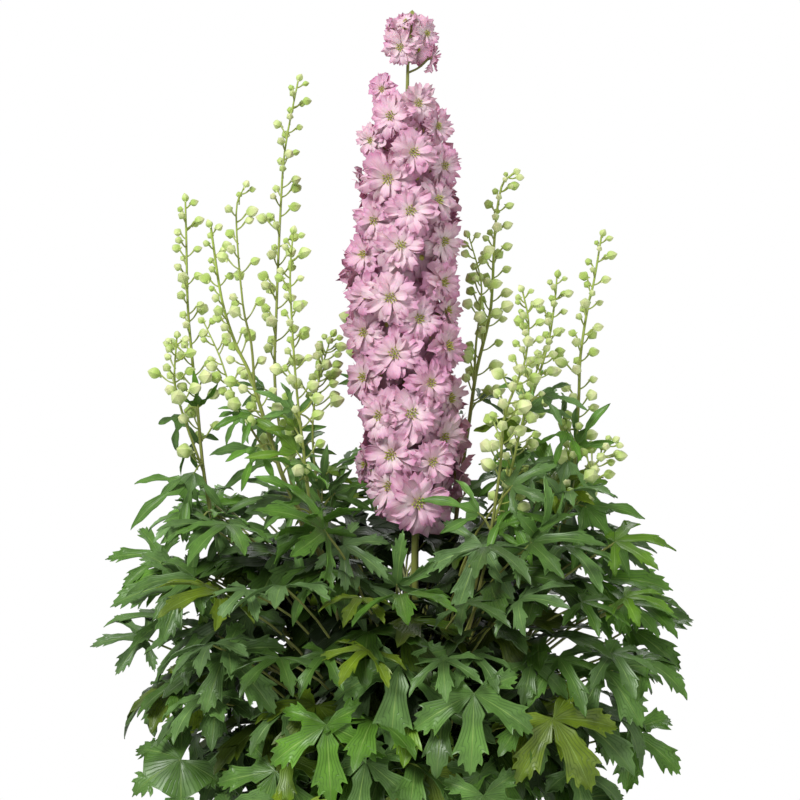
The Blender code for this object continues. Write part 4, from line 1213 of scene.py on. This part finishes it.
petalColours = {
    "pale": (0.900, 0.725, 0.735), "middle": (0.735, 0.370, 0.545), "deep": (0.410, 0.118, 0.255),
    "eye": (0.360, 0.400, 0.050), "spur": (0.420, 0.240, 0.290), "pollen": (0.560, 0.560, 0.120)}
petalShine = {"Roughness": 0.55, "Specular IOR Level": 0.25, "Sheen Weight": 0.15, "Subsurface Weight": 0.10,
              "Subsurface Scale": 0.003}


def petalFinish():
    material, tree, body = shader("petalPink", petalShine)
    u, v = surface(tree)
    tone, tint = reading(tree, "tone"), reading(tree, "tint")
    share = plus(tree, times(tree, v, 0.50), times(tree, tone, 0.42), times(tree, tint, 0.25),
                 remap(tree, noise(tree, 80.0), 0.3, 0.7, -0.20, 0.20))
    colour = mixed(tree, remap(tree, share, 0.20, 0.95), petalColours["pale"], petalColours["middle"])
    streak = remap(tree, calc(tree, "SINE", times(tree, u, 62.0)), 0.1, 1.0, 0.0, 0.36)
    streak = times(tree, streak, remap(tree, v, 0.1, 1.0, 0.9, 0.4))
    # painted shade: a deep line along the middle of each petal, where the petal folds
    fold = remap(tree, offMiddle(tree, u), 0.0, 0.07, 0.26, 0.0)
    edge = times(tree, remap(tree, v, 0.74, 1.0, 0.0, 0.60), remap(tree, tint, 0.0, 1.0, 0.35, 1.0))
    lines = calc(tree, "MAXIMUM", calc(tree, "MAXIMUM", streak, fold), edge)
    eye, spur = (calc(tree, "GREATER_THAN", u, mark - 1.0) for mark in (eyeMark, spurMark))
    for part, paint in (
            (lines, "deep"), (times(tree, tone, remap(tree, v, 0.0, 0.4, 0.55, 0.0)), "deep"), (eye, "eye"),
            (times(tree, eye, calc(tree, "GREATER_THAN", v, 0.7)), "pollen"), (spur, "spur")):
        colour = mixed(tree, part, colour, petalColours[paint])
    tree.links.new(colour, body.inputs["Base Color"])
    bump(tree, body, streak, 0.3, 0.0005)
    return material


stemColours = {"young": (0.360, 0.480, 0.070), "old": (0.160, 0.150, 0.028), "fleck": (0.150, 0.110, 0.030)}


def stemFinish():
    material, tree, body = shader("stemGreen", {"Roughness": 0.5, "Sheen Weight": 0.3})
    colour = mixed(tree, reading(tree, "tone"), stemColours["old"], stemColours["young"])
    colour = mixed(tree, remap(tree, noise(tree, 70.0), 0.5, 0.8, 0.0, 0.4), colour, stemColours["fleck"])
    tree.links.new(colour, body.inputs["Base Color"])
    bump(tree, body, noise(tree, 900.0, 2.0), 0.25, 0.0004)
    return material


budColours = {"green": (0.420, 0.580, 0.120), "white": (0.760, 0.820, 0.400), "blush": (0.560, 0.500, 0.250)}


def budFinish():
    material, tree, body = shader("budGreen", {"Roughness": 0.6, "Sheen Weight": 0.35})
    v, tone = surface(tree)[1], reading(tree, "tone")
    share = plus(tree, times(tree, tone, 0.5), remap(tree, noise(tree, 160.0), 0.3, 0.7, 0.0, 0.4),
                 remap(tree, v, 0.30, 0.85, -0.1, 0.35))
    colour = mixed(tree, remap(tree, share, 0.3, 1.0), budColours["green"], budColours["white"])
    tip = times(tree, remap(tree, v, 0.75, 1.0, 0.0, 0.6), tone)
    tree.links.new(mixed(tree, tip, colour, budColours["blush"]), body.inputs["Base Color"])
    return material


groundColours = {
    "soil": ((0.018, 0.011, 0.007), (0.070, 0.045, 0.028)),
    "pot": ((0.020, 0.019, 0.018), (0.050, 0.045, 0.040)), "floor": (0.90, 0.90, 0.89)}


def soilFinish():
    material, tree, body = shader("soilBrown", {"Roughness": 0.95})
    colour = mixed(tree, remap(tree, noise(tree, 220.0, 5.0), 0.35, 0.7), *groundColours["soil"])
    tree.links.new(colour, body.inputs["Base Color"])
    bump(tree, body, noise(tree, 260.0, 6.0), 0.9, 0.002)
    return material


def potFinish():
    material, tree, body = shader("potPlastic", {})
    colour = mixed(tree, remap(tree, noise(tree, 26.0, 4.0), 0.5, 0.75, 0.0, 0.5), *groundColours["pot"])
    tree.links.new(colour, body.inputs["Base Color"])
    tree.links.new(remap(tree, noise(tree, 40.0), 0.3, 0.7, 0.36, 0.55), body.inputs["Roughness"])
    bump(tree, body, noise(tree, 500.0), 0.08, 0.0004)
    return material


# Light, floor and camera

studio = {
    "target": (-0.0106, 0.0, 0.678), "distance": 3.0, "width": 0.848, "rise": 0.06, "sensor": 36,
    "near": 0.05, "world": 0.36, "floorRadius": 1.45, "floorDrop": 0.0005,
    # place, size and power
    "lights": {"key": ((-1.3, -1.9, 2.5), 0.9, 76.0), "fill": ((1.9, -1.7, 1.1), 1.6, 11.0),
               "back": ((0.6, 1.9, 2.2), 1.2, 18.0)}}


def aimAt(thing, place, aim):
    thing.location = place
    thing.rotation_euler = (aim - Vector(place)).to_track_quat("-Z", "Y").to_euler()


def makeStudio():
    scene = bpy.context.scene
    aim = Vector(studio["target"])
    data = bpy.data.cameras.new("camera")
    data.sensor_width = studio["sensor"]
    data.lens = studio["sensor"] * studio["distance"] / studio["width"]
    data.clip_start = studio["near"]
    scene.camera = newObject("camera", data)
    aimAt(scene.camera, aim + Vector((0, -studio["distance"], studio["rise"])), aim)
    for name, (place, size, power) in studio["lights"].items():
        data = bpy.data.lights.new(name, "AREA")
        data.size = size
        data.energy = power
        aimAt(newObject(name, data), place, aim)
    scene.world = bpy.data.worlds.new("paper")
    scene.world.use_nodes = True
    tree = scene.world.node_tree
    paper = tree.nodes["Background"]
    paper.inputs["Color"].default_value = (1, 1, 1, 1)
    seen = tree.nodes.new("ShaderNodeLightPath").outputs["Is Camera Ray"]
    tree.links.new(remap(tree, seen, 0.0, 1.0, studio["world"], 1.0), paper.inputs["Strength"])
    scene.view_settings.view_transform = "Standard"
    disc = bmesh.new()
    bmesh.ops.create_circle(disc, cap_ends=True, segments=96, radius=studio["floorRadius"])
    floor = newObject("floor", meshFrom(disc, "floor"))
    floor.location.z = -studio["floorDrop"]
    paint = shader("floorPaper", {"Base Color": groundColours["floor"], "Roughness": 0.9})[0]
    floor.data.materials.append(paint)


plan = placeAll()
print("placed", len(plan["stems"]), "bud stems and", len(plan["leaves"]), "leaves")
leafGreen, petalPink, stemGreen = leafFinish(), petalFinish(), stemFinish()
makeLeaves(plan, [leafGreen, stemGreen])
makeFill([leafGreen, stemGreen])
makeFlowers(plan, petalPink, stemGreen)
makeBudStems(plan, budShapes(), stemGreen, budFinish(), leafGreen)
makePot(potFinish())
makeSoil(soilFinish())
makeStudio()
